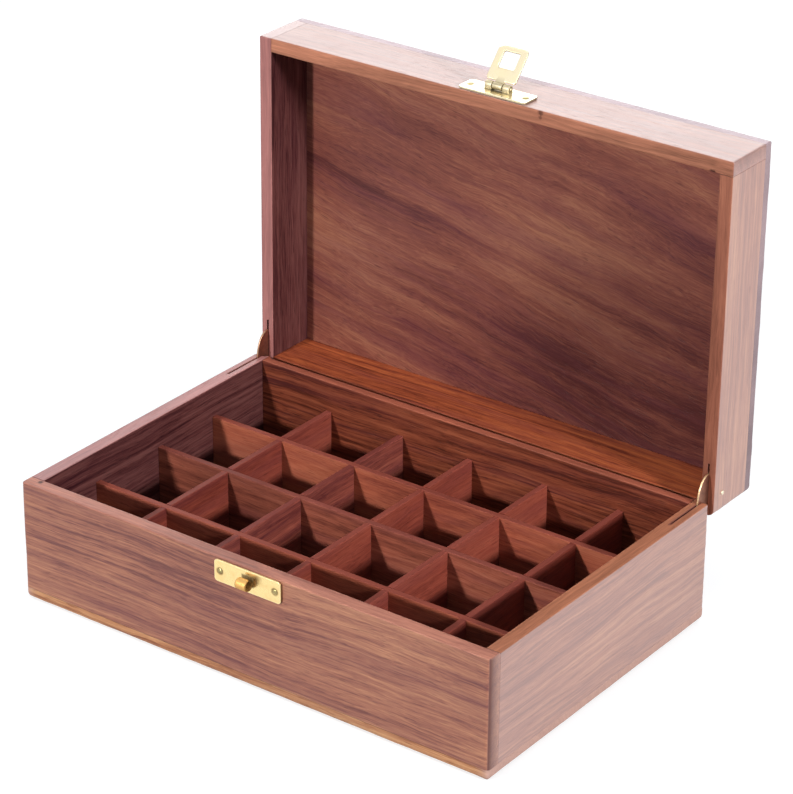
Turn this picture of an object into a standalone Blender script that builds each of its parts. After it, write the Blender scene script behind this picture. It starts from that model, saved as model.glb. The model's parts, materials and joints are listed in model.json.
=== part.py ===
"""Essential oil storage box in dark red wood, standing with its lid open.

The base holds twenty-four small bottles in cells between half-lapped dividers. The lid
turns on two metal plates, each let into saw kerfs in the side walls of base and lid: a nail
fixes the plate in the lid, and a pin carries it in the base. A hasp on the lid's front
closes over a rolled curl on the base. All sizes are in metres and all angles in radians.
x runs across the front, y to the back and z up, and the origin is the middle of the
underside. The lid and the hasp are made as they lie when closed, and then turned open.
"""

import math

import bmesh
import bpy
from mathutils import Vector

# The box as a whole
BOX_WIDTH = 0.240
BOX_DEPTH = 0.159
BASE_HEIGHT = 0.055
LID_HEIGHT = 0.0312
BASE_WALL = 0.0068
BACK_WALL = 0.0056
LID_WALL = 0.0064
BOTTOM_BOARD = 0.005
TOP_BOARD = 0.006
EDGE_ROUND = 0.0028
ARRIS = 0.0005
FIT = 0.0003
CUT_OVERRUN = 0.002

# The dividers, at shares of the clear width and depth where they were set by hand
DIVIDER_BOARD = 0.003
DIVIDER_DROP = 0.0143
DIVIDER_CHAMFER = 0.0003
COLUMN_SHARES = (0.167, 0.343, 0.508, 0.682, 0.852)
ROW_SHARES = (0.231, 0.511, 0.766)

# The hinges: the pin stands at the centre of the rounded back edge, so that the lid clears it
PIN_INSET = EDGE_ROUND
PIN_DROP = 0.0053
PIN_RADIUS = 0.0007
PIN_SKIN = 0.0012
HINGE_SHEET = 0.0012
HINGE_HEEL = 0.0026
HINGE_REACH = 0.0167
HINGE_NAIL_REACH_SHARE = 0.38
EAR_LOW_SHARE = 0.63
EAR_FRONT_SHARE = 0.03
BLADE_RADIUS = 0.025
BASE_KERF_RUNOUT = 0.0065
LID_KERF_RUNOUT = 0.0046
LID_KERF_DEPTH = 0.011
LID_KERF_SPARE = 0.0005
OPEN_ANGLE = math.radians(90.35)

# The nails
NAIL_RADIUS = 0.0006
NAIL_HEAD_RADIUS = 0.0013
NAIL_HEAD_HEIGHT = 0.0007
NAIL_LENGTH = 0.005
NAIL_POINT = 0.0012
HINGE_NAIL_HEAD_RADIUS = 0.0010
HINGE_NAIL_HEAD_HEIGHT = 0.0004
HINGE_NAIL_RISE = 0.0063
HINGE_NAIL_SKIN = 0.0012
NAIL_TIP_SHARE = 0.3
HEAD_DOME_SHARES = ((1.0, 0.0), (1.0, 0.35), (0.84, 0.75), (0.45, 1.0))

# The clasp: a plate with a curl on the base, a plate with lugs on the lid, and the hasp
CLASP_OFFSET = 0.0022
CLASP_SHEET = 0.0008
CLASP_WIDTH = 0.034
CATCH_HEIGHT = 0.010
CLASP_HEIGHT = 0.0105
CLASP_RIM_INSET = 0.0005
CLASP_CORNER = 0.0016
CLASP_NAIL_INSET = 0.003
CURL_RADIUS = 0.0028
CURL_SHEET = 0.0009
CURL_WIDTH = 0.0056
CURL_SEAT = 0.0005
CURL_START = math.radians(15)
CURL_END = math.radians(-280)
LUG_WIDTH = 0.0034
BARREL_WIDTH = 0.005
BARREL_RADIUS = 0.0016
HASP_PIN_RADIUS = 0.00055
HASP_PIN_RISE = 0.0061
HASP_PIN_PROUD = 0.0003
PIN_CHAMFER = 0.00015
HASP_SHEET = 0.001
HASP_ARM = 0.0039
HASP_BAR = 0.0029
HASP_CORNER = 0.003
HASP_NECK_INSET = 0.0003
HASP_LIP = 0.002
WINDOW_SIDE_CLEARANCE = 0.0007
WINDOW_END_CLEARANCE = 0.0009
WINDOW_CORNER = 0.0008
HASP_LIP_ANGLE = math.radians(25)
HASP_REST_ANGLE = math.radians(131)

# How finely round shapes are cut
EDGE_STEPS = 4
ROUND_SIDES = 16
ARC_STEPS = 12
CORNER_STEPS = 4

# Places worked out from the sizes above
INNER_LEFT = -BOX_WIDTH / 2 + BASE_WALL
INNER_WIDTH = BOX_WIDTH - 2 * BASE_WALL
FRONT_FACE = -BOX_DEPTH / 2
BACK_FACE = BOX_DEPTH / 2
INNER_FRONT = FRONT_FACE + BASE_WALL
INNER_DEPTH = BOX_DEPTH - BASE_WALL - BACK_WALL
WALL_FOOT = BOTTOM_BOARD + FIT
LID_RIM = BASE_HEIGHT + FIT
LID_TOP = LID_RIM + LID_HEIGHT
LID_WALL_TOP = LID_TOP - TOP_BOARD - FIT
HINGE_X = BOX_WIDTH / 2 - BASE_WALL / 2
PIN_Y = BACK_FACE - PIN_INSET
PIN_Z = BASE_HEIGHT - PIN_DROP
KERF_WIDTH = HINGE_SHEET + 2 * FIT
CATCH_Z = BASE_HEIGHT - CLASP_RIM_INSET - CATCH_HEIGHT / 2
CLASP_Z = LID_RIM + CLASP_RIM_INSET + CLASP_HEIGHT / 2
PLATE_BACK = FRONT_FACE - FIT
PLATE_FRONT = PLATE_BACK - CLASP_SHEET
HASP_PIN_Y = PLATE_FRONT - FIT - BARREL_RADIUS
HASP_PIN_Z = LID_RIM + HASP_PIN_RISE
NAIL_SPREAD = CLASP_WIDTH / 2 - CLASP_NAIL_INSET

# Colours of the finishes, each with its roughness and its metallic value
OUTER_WOOD = ((0.27, 0.12, 0.09), 0.45, 0.0)
INNER_WOOD = ((0.22, 0.07, 0.04), 0.50, 0.0)
YELLOW_WOOD = ((0.42, 0.24, 0.10), 0.50, 0.0)
BRASS = ((0.82, 0.62, 0.28), 0.25, 1.0)
DULL_METAL = ((0.50, 0.38, 0.25), 0.40, 1.0)
NAIL_METAL = ((0.75, 0.68, 0.55), 0.30, 1.0)

AXES = "XYZ"
SIDES = (("left", "right"), ("front", "back"), ("bottom", "top"))


def clear_scene():
    """Take away whatever the file holds."""
    for thing in list(bpy.data.objects):
        bpy.data.objects.remove(thing, do_unlink=True)


def new_piece(name, shape):
    """Put a bmesh shape into the scene as a smooth-shaded object with sharp edges kept."""
    mesh = bpy.data.meshes.new(name)
    shape.to_mesh(mesh)
    shape.free()
    mesh.shade_smooth()
    mesh.set_sharp_from_angle(angle=math.radians(35))
    piece = bpy.data.objects.new(name, mesh)
    bpy.context.scene.collection.objects.link(piece)
    return piece


def dress(piece, finish):
    """Give a piece its own material in one of the finishes."""
    colour, roughness, metallic = finish
    material = bpy.data.materials.new(f"{piece.name}_finish")
    material.use_nodes = True
    shader = material.node_tree.nodes["Principled BSDF"]
    shader.inputs["Base Color"].default_value = (*colour, 1.0)
    shader.inputs["Roughness"].default_value = roughness
    shader.inputs["Metallic"].default_value = metallic
    piece.data.materials.append(material)


def hang(piece, parent):
    """Hang a piece, placed as it lies when closed, on the empty at its joint."""
    piece.parent = parent
    piece.location -= parent.location
    return piece


def combine(piece, other, operation):
    """Cut or join a piece with another shape, which is itself only a guide."""
    change = piece.modifiers.new(other.name, "BOOLEAN")
    change.operation = operation
    change.solver = "EXACT"
    change.object = other
    other.hide_render = True
    other.display_type = "WIRE"


def side_of(normal):
    """The word for the side of a board that a face looks to."""
    axis = max(range(len(AXES)), key=lambda place: abs(normal[place]))
    return SIDES[axis][normal[axis] > 0]


def board(name, low, high, rounded, eased=()):
    """A board between two corners, with some edges rounded and some just eased.

    An edge is named by the two sides that it lies between, such as "top back".
    """
    shape = bmesh.new()
    bmesh.ops.create_cube(shape, size=1)
    bmesh.ops.scale(shape, vec=high - low, verts=shape.verts)
    shape.normal_update()
    weights = shape.edges.layers.float.new("bevel_weight_edge")
    rounded_edges = [set(words.split()) for words in rounded]
    eased_edges = [set(words.split()) for words in eased]
    for edge in shape.edges:
        sides = {side_of(face.normal) for face in edge.link_faces}
        if sides in rounded_edges:
            edge[weights] = 1.0
        if sides in eased_edges:
            edge[weights] = ARRIS / EDGE_ROUND
    piece = new_piece(name, shape)
    piece.location = (low + high) / 2
    bevel = piece.modifiers.new("edges", "BEVEL")
    bevel.limit_method = "WEIGHT"
    bevel.width = EDGE_ROUND
    bevel.segments = EDGE_STEPS
    bevel.use_clamp_overlap = False
    return piece


def prism(name, outline, axis, thickness):
    """A flat outline with a thickness along the named axis, half on each side of its plane."""
    through = AXES.index(axis)
    across, up = [place for place in range(len(AXES)) if place != through]
    shape = bmesh.new()
    corners = []
    for along_place, up_place in outline:
        point = Vector()
        point[across] = along_place
        point[up] = up_place
        point[through] = -thickness / 2
        corners.append(shape.verts.new(point))
    face = shape.faces.new(corners)
    pushed = bmesh.ops.extrude_face_region(shape, geom=[face])["geom"]
    moved = [part for part in pushed if isinstance(part, bmesh.types.BMVert)]
    push = Vector()
    push[through] = thickness
    bmesh.ops.translate(shape, vec=push, verts=moved)
    bmesh.ops.recalc_face_normals(shape, faces=shape.faces)
    return new_piece(name, shape)


def turned(name, profile):
    """A profile of (radius, height) pairs, lowest first, turned about z, with flat ends."""
    shape = bmesh.new()
    rings = []
    for radius, height in profile:
        ring = []
        for step in range(ROUND_SIDES):
            turn = step * math.tau / ROUND_SIDES
            ring.append(shape.verts.new((radius * math.cos(turn), radius * math.sin(turn), height)))
        rings.append(ring)
    for lower, upper in zip(rings, rings[1:]):
        for step in range(ROUND_SIDES):
            following = (step + 1) % ROUND_SIDES
            shape.faces.new((lower[step], lower[following], upper[following], upper[step]))
    shape.faces.new(list(reversed(rings[0])))
    shape.faces.new(rings[-1])
    return new_piece(name, shape)


def rod(name, radius, length, chamfer=0.0):
    """A straight rod about z, half above its origin and half below, with chamfered ends."""
    end = length / 2
    profile = [(radius, -end + chamfer), (radius, end - chamfer)]
    if chamfer:
        profile = [(radius - chamfer, -end), *profile, (radius - chamfer, end)]
    return turned(name, profile)


def arc(centre, radius, start, end, steps):
    """Points along an arc, both ends included, as (across, up) pairs."""
    points = []
    for step in range(steps + 1):
        turn = start + (end - start) * step / steps
        points.append((centre[0] + radius * math.cos(turn), centre[1] + radius * math.sin(turn)))
    return points


def bezier(start, start_pull, end_pull, end, steps):
    """Points along a cubic curve between two ends, each pulled towards its own handle."""
    points = []
    for step in range(steps + 1):
        share = step / steps
        rest = 1 - share
        weights = (rest**3, 3 * rest**2 * share, 3 * rest * share**2, share**3)
        handles = (start, start_pull, end_pull, end)
        across = sum(weight * handle[0] for weight, handle in zip(weights, handles))
        up = sum(weight * handle[1] for weight, handle in zip(weights, handles))
        points.append((across, up))
    return points


def rounded_rectangle(low, high, radius):
    """The outline of a rectangle between two corners, with its own corners rounded."""
    outline = []
    quarter = math.pi / 2
    centres = (
        (high[0] - radius, high[1] - radius),
        (low[0] + radius, high[1] - radius),
        (low[0] + radius, low[1] + radius),
        (high[0] - radius, low[1] + radius),
    )
    for turn, centre in enumerate(centres):
        outline += arc(centre, radius, turn * quarter, (turn + 1) * quarter, CORNER_STEPS)
    return outline


# The base: boards and dividers

def make_bottom_board():
    """The board under the base, which covers the ends of its four walls."""
    low = Vector((-BOX_WIDTH / 2, FRONT_FACE, 0))
    high = Vector((BOX_WIDTH / 2, BACK_FACE, BOTTOM_BOARD))
    rounded = ("left front", "right front", "left back", "right back")
    rounded += ("bottom front", "bottom back", "bottom left", "bottom right")
    piece = board("bottom_board", low, high, rounded)
    dress(piece, YELLOW_WOOD)


def make_front_wall():
    """The base's front wall, which runs across the whole width and carries the catch."""
    low = Vector((-BOX_WIDTH / 2, FRONT_FACE, WALL_FOOT))
    high = Vector((BOX_WIDTH / 2, INNER_FRONT, BASE_HEIGHT))
    eased = ("top front", "top back", "top left", "top right")
    piece = board("front_wall", low, high, ("left front", "right front"), eased)
    drill_for_nails(piece, CATCH_Z, None)
    dress(piece, OUTER_WOOD)


def make_back_wall():
    """The base's back wall, between the side walls, with its back edge rounded for the lid."""
    inner_back = BACK_FACE - BACK_WALL
    low = Vector((INNER_LEFT + FIT, inner_back, WALL_FOOT))
    high = Vector((INNER_LEFT + INNER_WIDTH - FIT, BACK_FACE, BASE_HEIGHT))
    piece = board("back_wall", low, high, ("top back",), ("top front",))
    dress(piece, INNER_WOOD)


def make_side_wall(side_name, side):
    """One of the base's side walls, with the hinge's kerf and pin bore cut into it."""
    inner = side * (BOX_WIDTH / 2 - BASE_WALL)
    outer = side * BOX_WIDTH / 2
    low = Vector((min(inner, outer), INNER_FRONT + FIT, WALL_FOOT))
    high = Vector((max(inner, outer), BACK_FACE, BASE_HEIGHT))
    rounded = (f"{side_name} back", "top back")
    piece = board(f"{side_name}_wall", low, high, rounded, ("top left", "top right"))
    reach = PIN_INSET + HINGE_REACH + BASE_KERF_RUNOUT
    depth = PIN_DROP + HINGE_HEEL + FIT
    kerf = prism(f"{side_name}_kerf", kerf_outline(reach, depth, -1), "X", KERF_WIDTH)
    kerf.location = (side * HINGE_X, BACK_FACE, BASE_HEIGHT)
    combine(piece, kerf, "DIFFERENCE")
    bore_end = BOX_WIDTH / 2 - PIN_SKIN + FIT
    bore_start = BOX_WIDTH / 2 - BASE_WALL - CUT_OVERRUN
    bore = rod(f"{side_name}_pin_bore", PIN_RADIUS + FIT, bore_end - bore_start)
    bore.location = (side * (bore_start + bore_end) / 2, PIN_Y, PIN_Z)
    bore.rotation_euler = (0, math.pi / 2, 0)
    combine(piece, bore, "DIFFERENCE")
    dress(piece, OUTER_WOOD)


def kerf_outline(reach, depth, rise):
    """The side view of a saw kerf, from the back face and the rim that it is open to.

    The floor is flat from the back and then follows the round blade out to the rim. Rise is
    -1 where the kerf goes down from the rim, and 1 where it goes up.
    """
    lift = BLADE_RADIUS - depth
    flat_end = reach - math.sqrt(BLADE_RADIUS**2 - lift**2)
    sweep = math.acos((lift - CUT_OVERRUN) / BLADE_RADIUS)
    outline = [(CUT_OVERRUN, -rise * CUT_OVERRUN), (CUT_OVERRUN, rise * depth)]
    for step in range(ARC_STEPS + 1):
        turn = sweep * step / ARC_STEPS
        away = flat_end + BLADE_RADIUS * math.sin(turn)
        outline.append((-away, rise * (BLADE_RADIUS * math.cos(turn) - lift)))
    return outline


def comb_outline(length, height, slots, slot_depth):
    """The side view of a divider, with slots cut down into its top edge."""
    half_slot = DIVIDER_BOARD / 2 + FIT
    outline = [(-length / 2, 0.0), (length / 2, 0.0), (length / 2, height)]
    for place in sorted(slots, reverse=True):
        outline.append((place + half_slot, height))
        outline.append((place + half_slot, height - slot_depth))
        outline.append((place - half_slot, height - slot_depth))
        outline.append((place - half_slot, height))
    outline.append((-length / 2, height))
    return outline


def make_divider(name, outline, axis, location):
    """A divider from its side view, with all its edges lightly chamfered."""
    piece = prism(name, outline, axis, DIVIDER_BOARD)
    piece.location = location
    bevel = piece.modifiers.new("chamfer", "BEVEL")
    bevel.limit_method = "ANGLE"
    bevel.width = DIVIDER_CHAMFER
    bevel.segments = 1
    bevel.use_clamp_overlap = False
    dress(piece, INNER_WOOD)


def make_dividers():
    """Three long dividers slotted from below, and five cross dividers slotted from above."""
    height = BASE_HEIGHT - DIVIDER_DROP - WALL_FOOT
    slot_depth = (height + FIT) / 2
    middle_y = INNER_FRONT + INNER_DEPTH / 2
    columns = [INNER_LEFT + INNER_WIDTH * share for share in COLUMN_SHARES]
    rows = [INNER_FRONT + INNER_DEPTH * share for share in ROW_SHARES]
    comb = comb_outline(INNER_WIDTH - 2 * FIT, height, columns, slot_depth)
    long_outline = [(along, height - up) for along, up in reversed(comb)]
    for number, row in enumerate(rows, 1):
        make_divider(f"long_divider_{number}", long_outline, "Y", (0, row, WALL_FOOT))
    slots = [row - middle_y for row in rows]
    cross_outline = comb_outline(INNER_DEPTH - 2 * FIT, height, slots, slot_depth)
    for number, column in enumerate(columns, 1):
        make_divider(f"cross_divider_{number}", cross_outline, "X", (column, middle_y, WALL_FOOT))


# The nails and pins

def make_nail(name, head_radius, head_height, length, finish):
    """A nail pointing down z, with its origin under the middle of its domed head."""
    profile = [(NAIL_RADIUS * NAIL_TIP_SHARE, -length), (NAIL_RADIUS, NAIL_POINT - length)]
    profile.append((NAIL_RADIUS, 0.0))
    for radius_share, height_share in HEAD_DOME_SHARES:
        profile.append((head_radius * radius_share, head_height * height_share))
    piece = turned(name, profile)
    dress(piece, finish)
    return piece


def drill_for_nails(piece, height, parent):
    """The two holes that a clasp plate's nails go into, from the front, at a height."""
    for side_name, side in (("left", -1), ("right", 1)):
        depth = NAIL_LENGTH + FIT + CUT_OVERRUN
        hole = rod(f"{piece.name}_nail_hole_{side_name}", NAIL_RADIUS + FIT, depth)
        hole.location = (CLASP_OFFSET + side * NAIL_SPREAD, PLATE_FRONT - CUT_OVERRUN + depth / 2, height)
        hole.rotation_euler = (math.pi / 2, 0, 0)
        if parent:
            hang(hole, parent)
        combine(piece, hole, "DIFFERENCE")


def make_clasp_nails(plate_name, height, parent):
    """The two nails that hold a clasp plate, their heads just in front of it."""
    for side_name, side in (("left", -1), ("right", 1)):
        name = f"{plate_name}_nail_{side_name}"
        nail = make_nail(name, NAIL_HEAD_RADIUS, NAIL_HEAD_HEIGHT, NAIL_LENGTH, NAIL_METAL)
        nail.location = (CLASP_OFFSET + side * NAIL_SPREAD, PLATE_FRONT - FIT, height)
        nail.rotation_euler = (math.pi / 2, 0, 0)
        if parent:
            hang(nail, parent)


def make_hinge_pin(side_name, side):
    """The headless pin in the base that a hinge plate turns on, hidden in the side wall."""
    start = BOX_WIDTH / 2 - BASE_WALL + FIT
    end = BOX_WIDTH / 2 - PIN_SKIN
    pin = rod(f"hinge_pin_{side_name}", PIN_RADIUS, end - start, PIN_CHAMFER)
    pin.location = (side * (start + end) / 2, PIN_Y, PIN_Z)
    pin.rotation_euler = (0, math.pi / 2, 0)
    dress(pin, DULL_METAL)


# The catch on the base

def make_clasp_sheet(name, height, middle_z):
    """A flat plate with rounded corners on the front face, with holes for its two nails."""
    half = CLASP_WIDTH / 2
    outline = rounded_rectangle((-half, -height / 2), (half, height / 2), CLASP_CORNER)
    plate = prism(name, outline, "Y", CLASP_SHEET)
    plate.location = (CLASP_OFFSET, (PLATE_BACK + PLATE_FRONT) / 2, middle_z)
    return plate


def make_catch_plate():
    """The catch: a plate whose middle tongue is rolled into a curl, open at its top."""
    plate = make_clasp_sheet("catch_plate", CATCH_HEIGHT, CATCH_Z)
    outline = arc((0, 0), CURL_RADIUS, CURL_START, CURL_END, 2 * ARC_STEPS)
    outline += arc((0, 0), CURL_RADIUS - CURL_SHEET, CURL_END, CURL_START, 2 * ARC_STEPS)
    curl = prism("catch_curl", outline, "X", CURL_WIDTH)
    curl.location = (CLASP_OFFSET, PLATE_FRONT + CURL_SEAT - CURL_RADIUS, CATCH_Z)
    combine(plate, curl, "UNION")
    drill_for_nails(plate, CATCH_Z, None)
    dress(plate, BRASS)
    make_clasp_nails("catch_plate", CATCH_Z, None)


# The lid

def make_top_board(lid):
    """The board over the lid, which covers the ends of its four walls."""
    low = Vector((-BOX_WIDTH / 2, FRONT_FACE, LID_TOP - TOP_BOARD))
    high = Vector((BOX_WIDTH / 2, BACK_FACE, LID_TOP))
    rounded = ("left front", "right front", "left back", "right back")
    rounded += ("top front", "top back", "top left", "top right")
    piece = hang(board("top_board", low, high, rounded), lid)
    dress(piece, INNER_WOOD)


def make_lid_front_wall(lid):
    """The lid's front wall, which covers the right wall's end and carries the hasp."""
    low = Vector((-BOX_WIDTH / 2 + LID_WALL + FIT, FRONT_FACE, LID_RIM))
    high = Vector((BOX_WIDTH / 2, FRONT_FACE + LID_WALL, LID_WALL_TOP))
    eased = ("bottom front", "bottom back", "bottom right")
    piece = hang(board("lid_front_wall", low, high, ("right front",), eased), lid)
    drill_for_nails(piece, CLASP_Z, lid)
    dress(piece, OUTER_WOOD)


def make_lid_back_wall(lid):
    """The lid's back wall, between its side walls."""
    inner_x = BOX_WIDTH / 2 - LID_WALL - FIT
    low = Vector((-inner_x, BACK_FACE - LID_WALL, LID_RIM))
    high = Vector((inner_x, BACK_FACE, LID_WALL_TOP))
    piece = hang(board("lid_back_wall", low, high, (), ("bottom front", "bottom back")), lid)
    dress(piece, INNER_WOOD)


def make_lid_side_wall(side_name, side, lid):
    """One of the lid's side walls, with the hinge's kerf and nail hole cut into it.

    The left wall covers the front wall's end, and the right one stops behind the front wall.
    """
    inner = side * (BOX_WIDTH / 2 - LID_WALL)
    outer = side * BOX_WIDTH / 2
    front = FRONT_FACE if side < 0 else FRONT_FACE + LID_WALL + FIT
    rounded = ("left front", "left back") if side < 0 else ("right back",)
    eased = ("bottom left", "bottom right", "bottom front") if side < 0 else ("bottom left", "bottom right")
    low = Vector((min(inner, outer), front, LID_RIM))
    high = Vector((max(inner, outer), BACK_FACE, LID_WALL_TOP))
    piece = hang(board(f"lid_{side_name}_wall", low, high, rounded, eased), lid)
    reach = PIN_INSET + HINGE_REACH + LID_KERF_RUNOUT
    kerf = prism(f"lid_{side_name}_kerf", kerf_outline(reach, LID_KERF_DEPTH, 1), "X", KERF_WIDTH)
    kerf.location = (side * HINGE_X, BACK_FACE, LID_RIM)
    combine(piece, hang(kerf, lid), "DIFFERENCE")
    hole_start = BOX_WIDTH / 2 - LID_WALL + HINGE_NAIL_SKIN - FIT
    hole_end = BOX_WIDTH / 2 + CUT_OVERRUN
    hole = rod(f"lid_{side_name}_nail_hole", NAIL_RADIUS + FIT, hole_end - hole_start)
    hole.location = (side * (hole_start + hole_end) / 2, *hinge_nail_place())
    hole.rotation_euler = (0, math.pi / 2, 0)
    combine(piece, hang(hole, lid), "DIFFERENCE")
    dress(piece, OUTER_WOOD)


def hinge_nail_place():
    """The y and z of the nails that fix the hinge plates, with the lid closed."""
    return (PIN_Y - HINGE_REACH * HINGE_NAIL_REACH_SHARE, LID_RIM + HINGE_NAIL_RISE)


def hinge_outline():
    """The side view of a hinge plate about its pin: heel, ear and the part inside the lid.

    The ear's lower edge is a curve from under the heel to the lid's rim. In the lid the plate
    follows the blade's arc, a little inside the kerf.
    """
    rim = PIN_DROP + FIT
    heel = arc((0, 0), HINGE_HEEL, 0, -math.pi / 2, ARC_STEPS // 2)
    low_pull = (-HINGE_REACH * EAR_LOW_SHARE, -HINGE_HEEL)
    front_pull = (-HINGE_REACH, -rim * EAR_FRONT_SHARE)
    ear = bezier((0, -HINGE_HEEL), low_pull, front_pull, (-HINGE_REACH, rim), ARC_STEPS)
    reach = PIN_INSET + HINGE_REACH + LID_KERF_RUNOUT
    floor_run = math.sqrt(BLADE_RADIUS**2 - (BLADE_RADIUS - LID_KERF_DEPTH) ** 2)
    centre = (floor_run + PIN_INSET - reach, rim + LID_KERF_DEPTH - BLADE_RADIUS)
    radius = BLADE_RADIUS - LID_KERF_SPARE
    front_turn = math.acos((-HINGE_REACH - centre[0]) / radius)
    inside = arc(centre, radius, front_turn, math.pi / 2, ARC_STEPS)
    return heel + ear[1:] + inside + [(HINGE_HEEL, inside[-1][1])]


def make_hinge_plate(side_name, side, lid):
    """One of the two flat hinge plates, with its pin bore and nail hole."""
    plate = prism(f"hinge_plate_{side_name}", hinge_outline(), "X", HINGE_SHEET)
    plate.location = (side * HINGE_X, PIN_Y, PIN_Z)
    hang(plate, lid)
    for hole_name, radius, place in (
        ("pin_bore", PIN_RADIUS + FIT, (PIN_Y, PIN_Z)),
        ("nail_hole", NAIL_RADIUS + FIT, hinge_nail_place()),
    ):
        hole = rod(f"{plate.name}_{hole_name}", radius, HINGE_SHEET + 2 * CUT_OVERRUN)
        hole.location = (side * HINGE_X, *place)
        hole.rotation_euler = (0, math.pi / 2, 0)
        combine(plate, hang(hole, lid), "DIFFERENCE")
    dress(plate, DULL_METAL)


def make_hinge_nail(side_name, side, lid):
    """The nail through the lid's side wall that fixes a hinge plate in its kerf."""
    length = LID_WALL - HINGE_NAIL_SKIN + FIT
    name = f"hinge_nail_{side_name}"
    nail = make_nail(name, HINGE_NAIL_HEAD_RADIUS, HINGE_NAIL_HEAD_HEIGHT, length, NAIL_METAL)
    nail.location = (side * (BOX_WIDTH / 2 + FIT), *hinge_nail_place())
    nail.rotation_euler = (0, side * math.pi / 2, 0)
    hang(nail, lid)


def make_lug(name, middle_x, lid):
    """The outline of a lug: a round front about the pin, and straight sides to the plate."""
    seat = BARREL_RADIUS + FIT + CLASP_SHEET / 2
    outline = [(seat, BARREL_RADIUS)]
    outline += arc((0, 0), BARREL_RADIUS, math.pi / 2, 3 * math.pi / 2, ARC_STEPS)
    outline.append((seat, -BARREL_RADIUS))
    lug = prism(name, outline, "X", LUG_WIDTH)
    lug.location = (middle_x, HASP_PIN_Y, HASP_PIN_Z)
    return hang(lug, lid)


def make_hasp_plate(lid):
    """The plate on the lid's front, with two lugs that hold the hasp's pin."""
    plate = hang(make_clasp_sheet("hasp_plate", CLASP_HEIGHT, CLASP_Z), lid)
    for side_name, side in (("left", -1), ("right", 1)):
        middle_x = CLASP_OFFSET + side * (BARREL_WIDTH / 2 + FIT + LUG_WIDTH / 2)
        combine(plate, make_lug(f"hasp_lug_{side_name}", middle_x, lid), "UNION")
    width = BARREL_WIDTH + 2 * FIT + 2 * LUG_WIDTH + 2 * CUT_OVERRUN
    bore = rod("hasp_lug_bore", HASP_PIN_RADIUS + FIT, width)
    bore.location = (CLASP_OFFSET, HASP_PIN_Y, HASP_PIN_Z)
    bore.rotation_euler = (0, math.pi / 2, 0)
    combine(plate, hang(bore, lid), "DIFFERENCE")
    drill_for_nails(plate, CLASP_Z, lid)
    dress(plate, BRASS)
    make_clasp_nails("hasp_plate", CLASP_Z, lid)


def make_hasp_pin(lid):
    """The short pin through both lugs and the hasp's barrel."""
    length = BARREL_WIDTH + 2 * (FIT + LUG_WIDTH + HASP_PIN_PROUD)
    pin = rod("hasp_pin", HASP_PIN_RADIUS, length, PIN_CHAMFER)
    pin.location = (CLASP_OFFSET, HASP_PIN_Y, HASP_PIN_Z)
    pin.rotation_euler = (0, math.pi / 2, 0)
    hang(pin, lid)
    dress(pin, BRASS)


# The hasp

def make_hasp(hasp):
    """The hasp about its pin, hanging down: a barrel, a neck, two arms and a bar with a lip.

    Its window goes over the curl with a named clearance on each side.
    """
    curl_drop = HASP_PIN_Z - CATCH_Z
    window_start = curl_drop - CURL_RADIUS - WINDOW_END_CLEARANCE
    window_end = curl_drop + CURL_RADIUS + WINDOW_END_CLEARANCE
    window_half = CURL_WIDTH / 2 + WINDOW_SIDE_CLEARANCE
    half = window_half + HASP_ARM
    tip = window_end + HASP_BAR
    neck = BARREL_WIDTH / 2 - HASP_NECK_INSET
    neck_start = BARREL_RADIUS - HASP_SHEET / 2
    shoulder = BARREL_RADIUS + 2 * FIT
    leaf = prism("hasp_leaf", strip_outline(neck_start, tip), "X", 2 * (half + CUT_OVERRUN))
    leaf.parent = hasp
    outline = [(neck, CUT_OVERRUN), (-neck, CUT_OVERRUN), (-neck, -shoulder), (-half, -shoulder)]
    for side, start in ((-1, math.pi), (1, 1.5 * math.pi)):
        corner = (side * (half - HASP_CORNER), HASP_CORNER - tip)
        outline += arc(corner, HASP_CORNER, start, start + math.pi / 2, CORNER_STEPS)
    outline += [(half, -shoulder), (neck, -shoulder)]
    shape = prism("hasp_leaf_outline", outline, "Y", 2 * (HASP_LIP + HASP_SHEET))
    shape.parent = hasp
    combine(leaf, shape, "INTERSECT")
    window = rounded_rectangle((-window_half, -window_end), (window_half, -window_start), WINDOW_CORNER)
    opening = prism("hasp_window", window, "Y", 2 * HASP_SHEET)
    opening.parent = hasp
    combine(leaf, opening, "DIFFERENCE")
    barrel = rod("hasp_barrel", BARREL_RADIUS, BARREL_WIDTH)
    bore = rod("hasp_barrel_bore", HASP_PIN_RADIUS + FIT, BARREL_WIDTH + 2 * CUT_OVERRUN)
    for tube, operation in ((barrel, "UNION"), (bore, "DIFFERENCE")):
        tube.parent = hasp
        tube.rotation_euler = (0, math.pi / 2, 0)
        combine(leaf, tube, operation)
    dress(leaf, BRASS)


def strip_outline(start, tip):
    """The hasp's side view: a straight strip whose last stretch is bent outwards as a lip."""
    half = HASP_SHEET / 2
    bend = tip - HASP_LIP
    out = HASP_LIP * math.tan(HASP_LIP_ANGLE)
    outline = [(half, -start), (-half, -start), (-half, -bend)]
    outline += [(-half - out, -tip), (half - out, -tip), (half, -bend)]
    return outline


def make_joint_empty(name, location, angle, parent=None):
    """An empty on a joint's axis, turned back from closed to open."""
    empty = bpy.data.objects.new(name, None)
    bpy.context.scene.collection.objects.link(empty)
    empty.location = location
    empty.rotation_euler = (-angle, 0, 0)
    empty.parent = parent
    return empty


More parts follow.
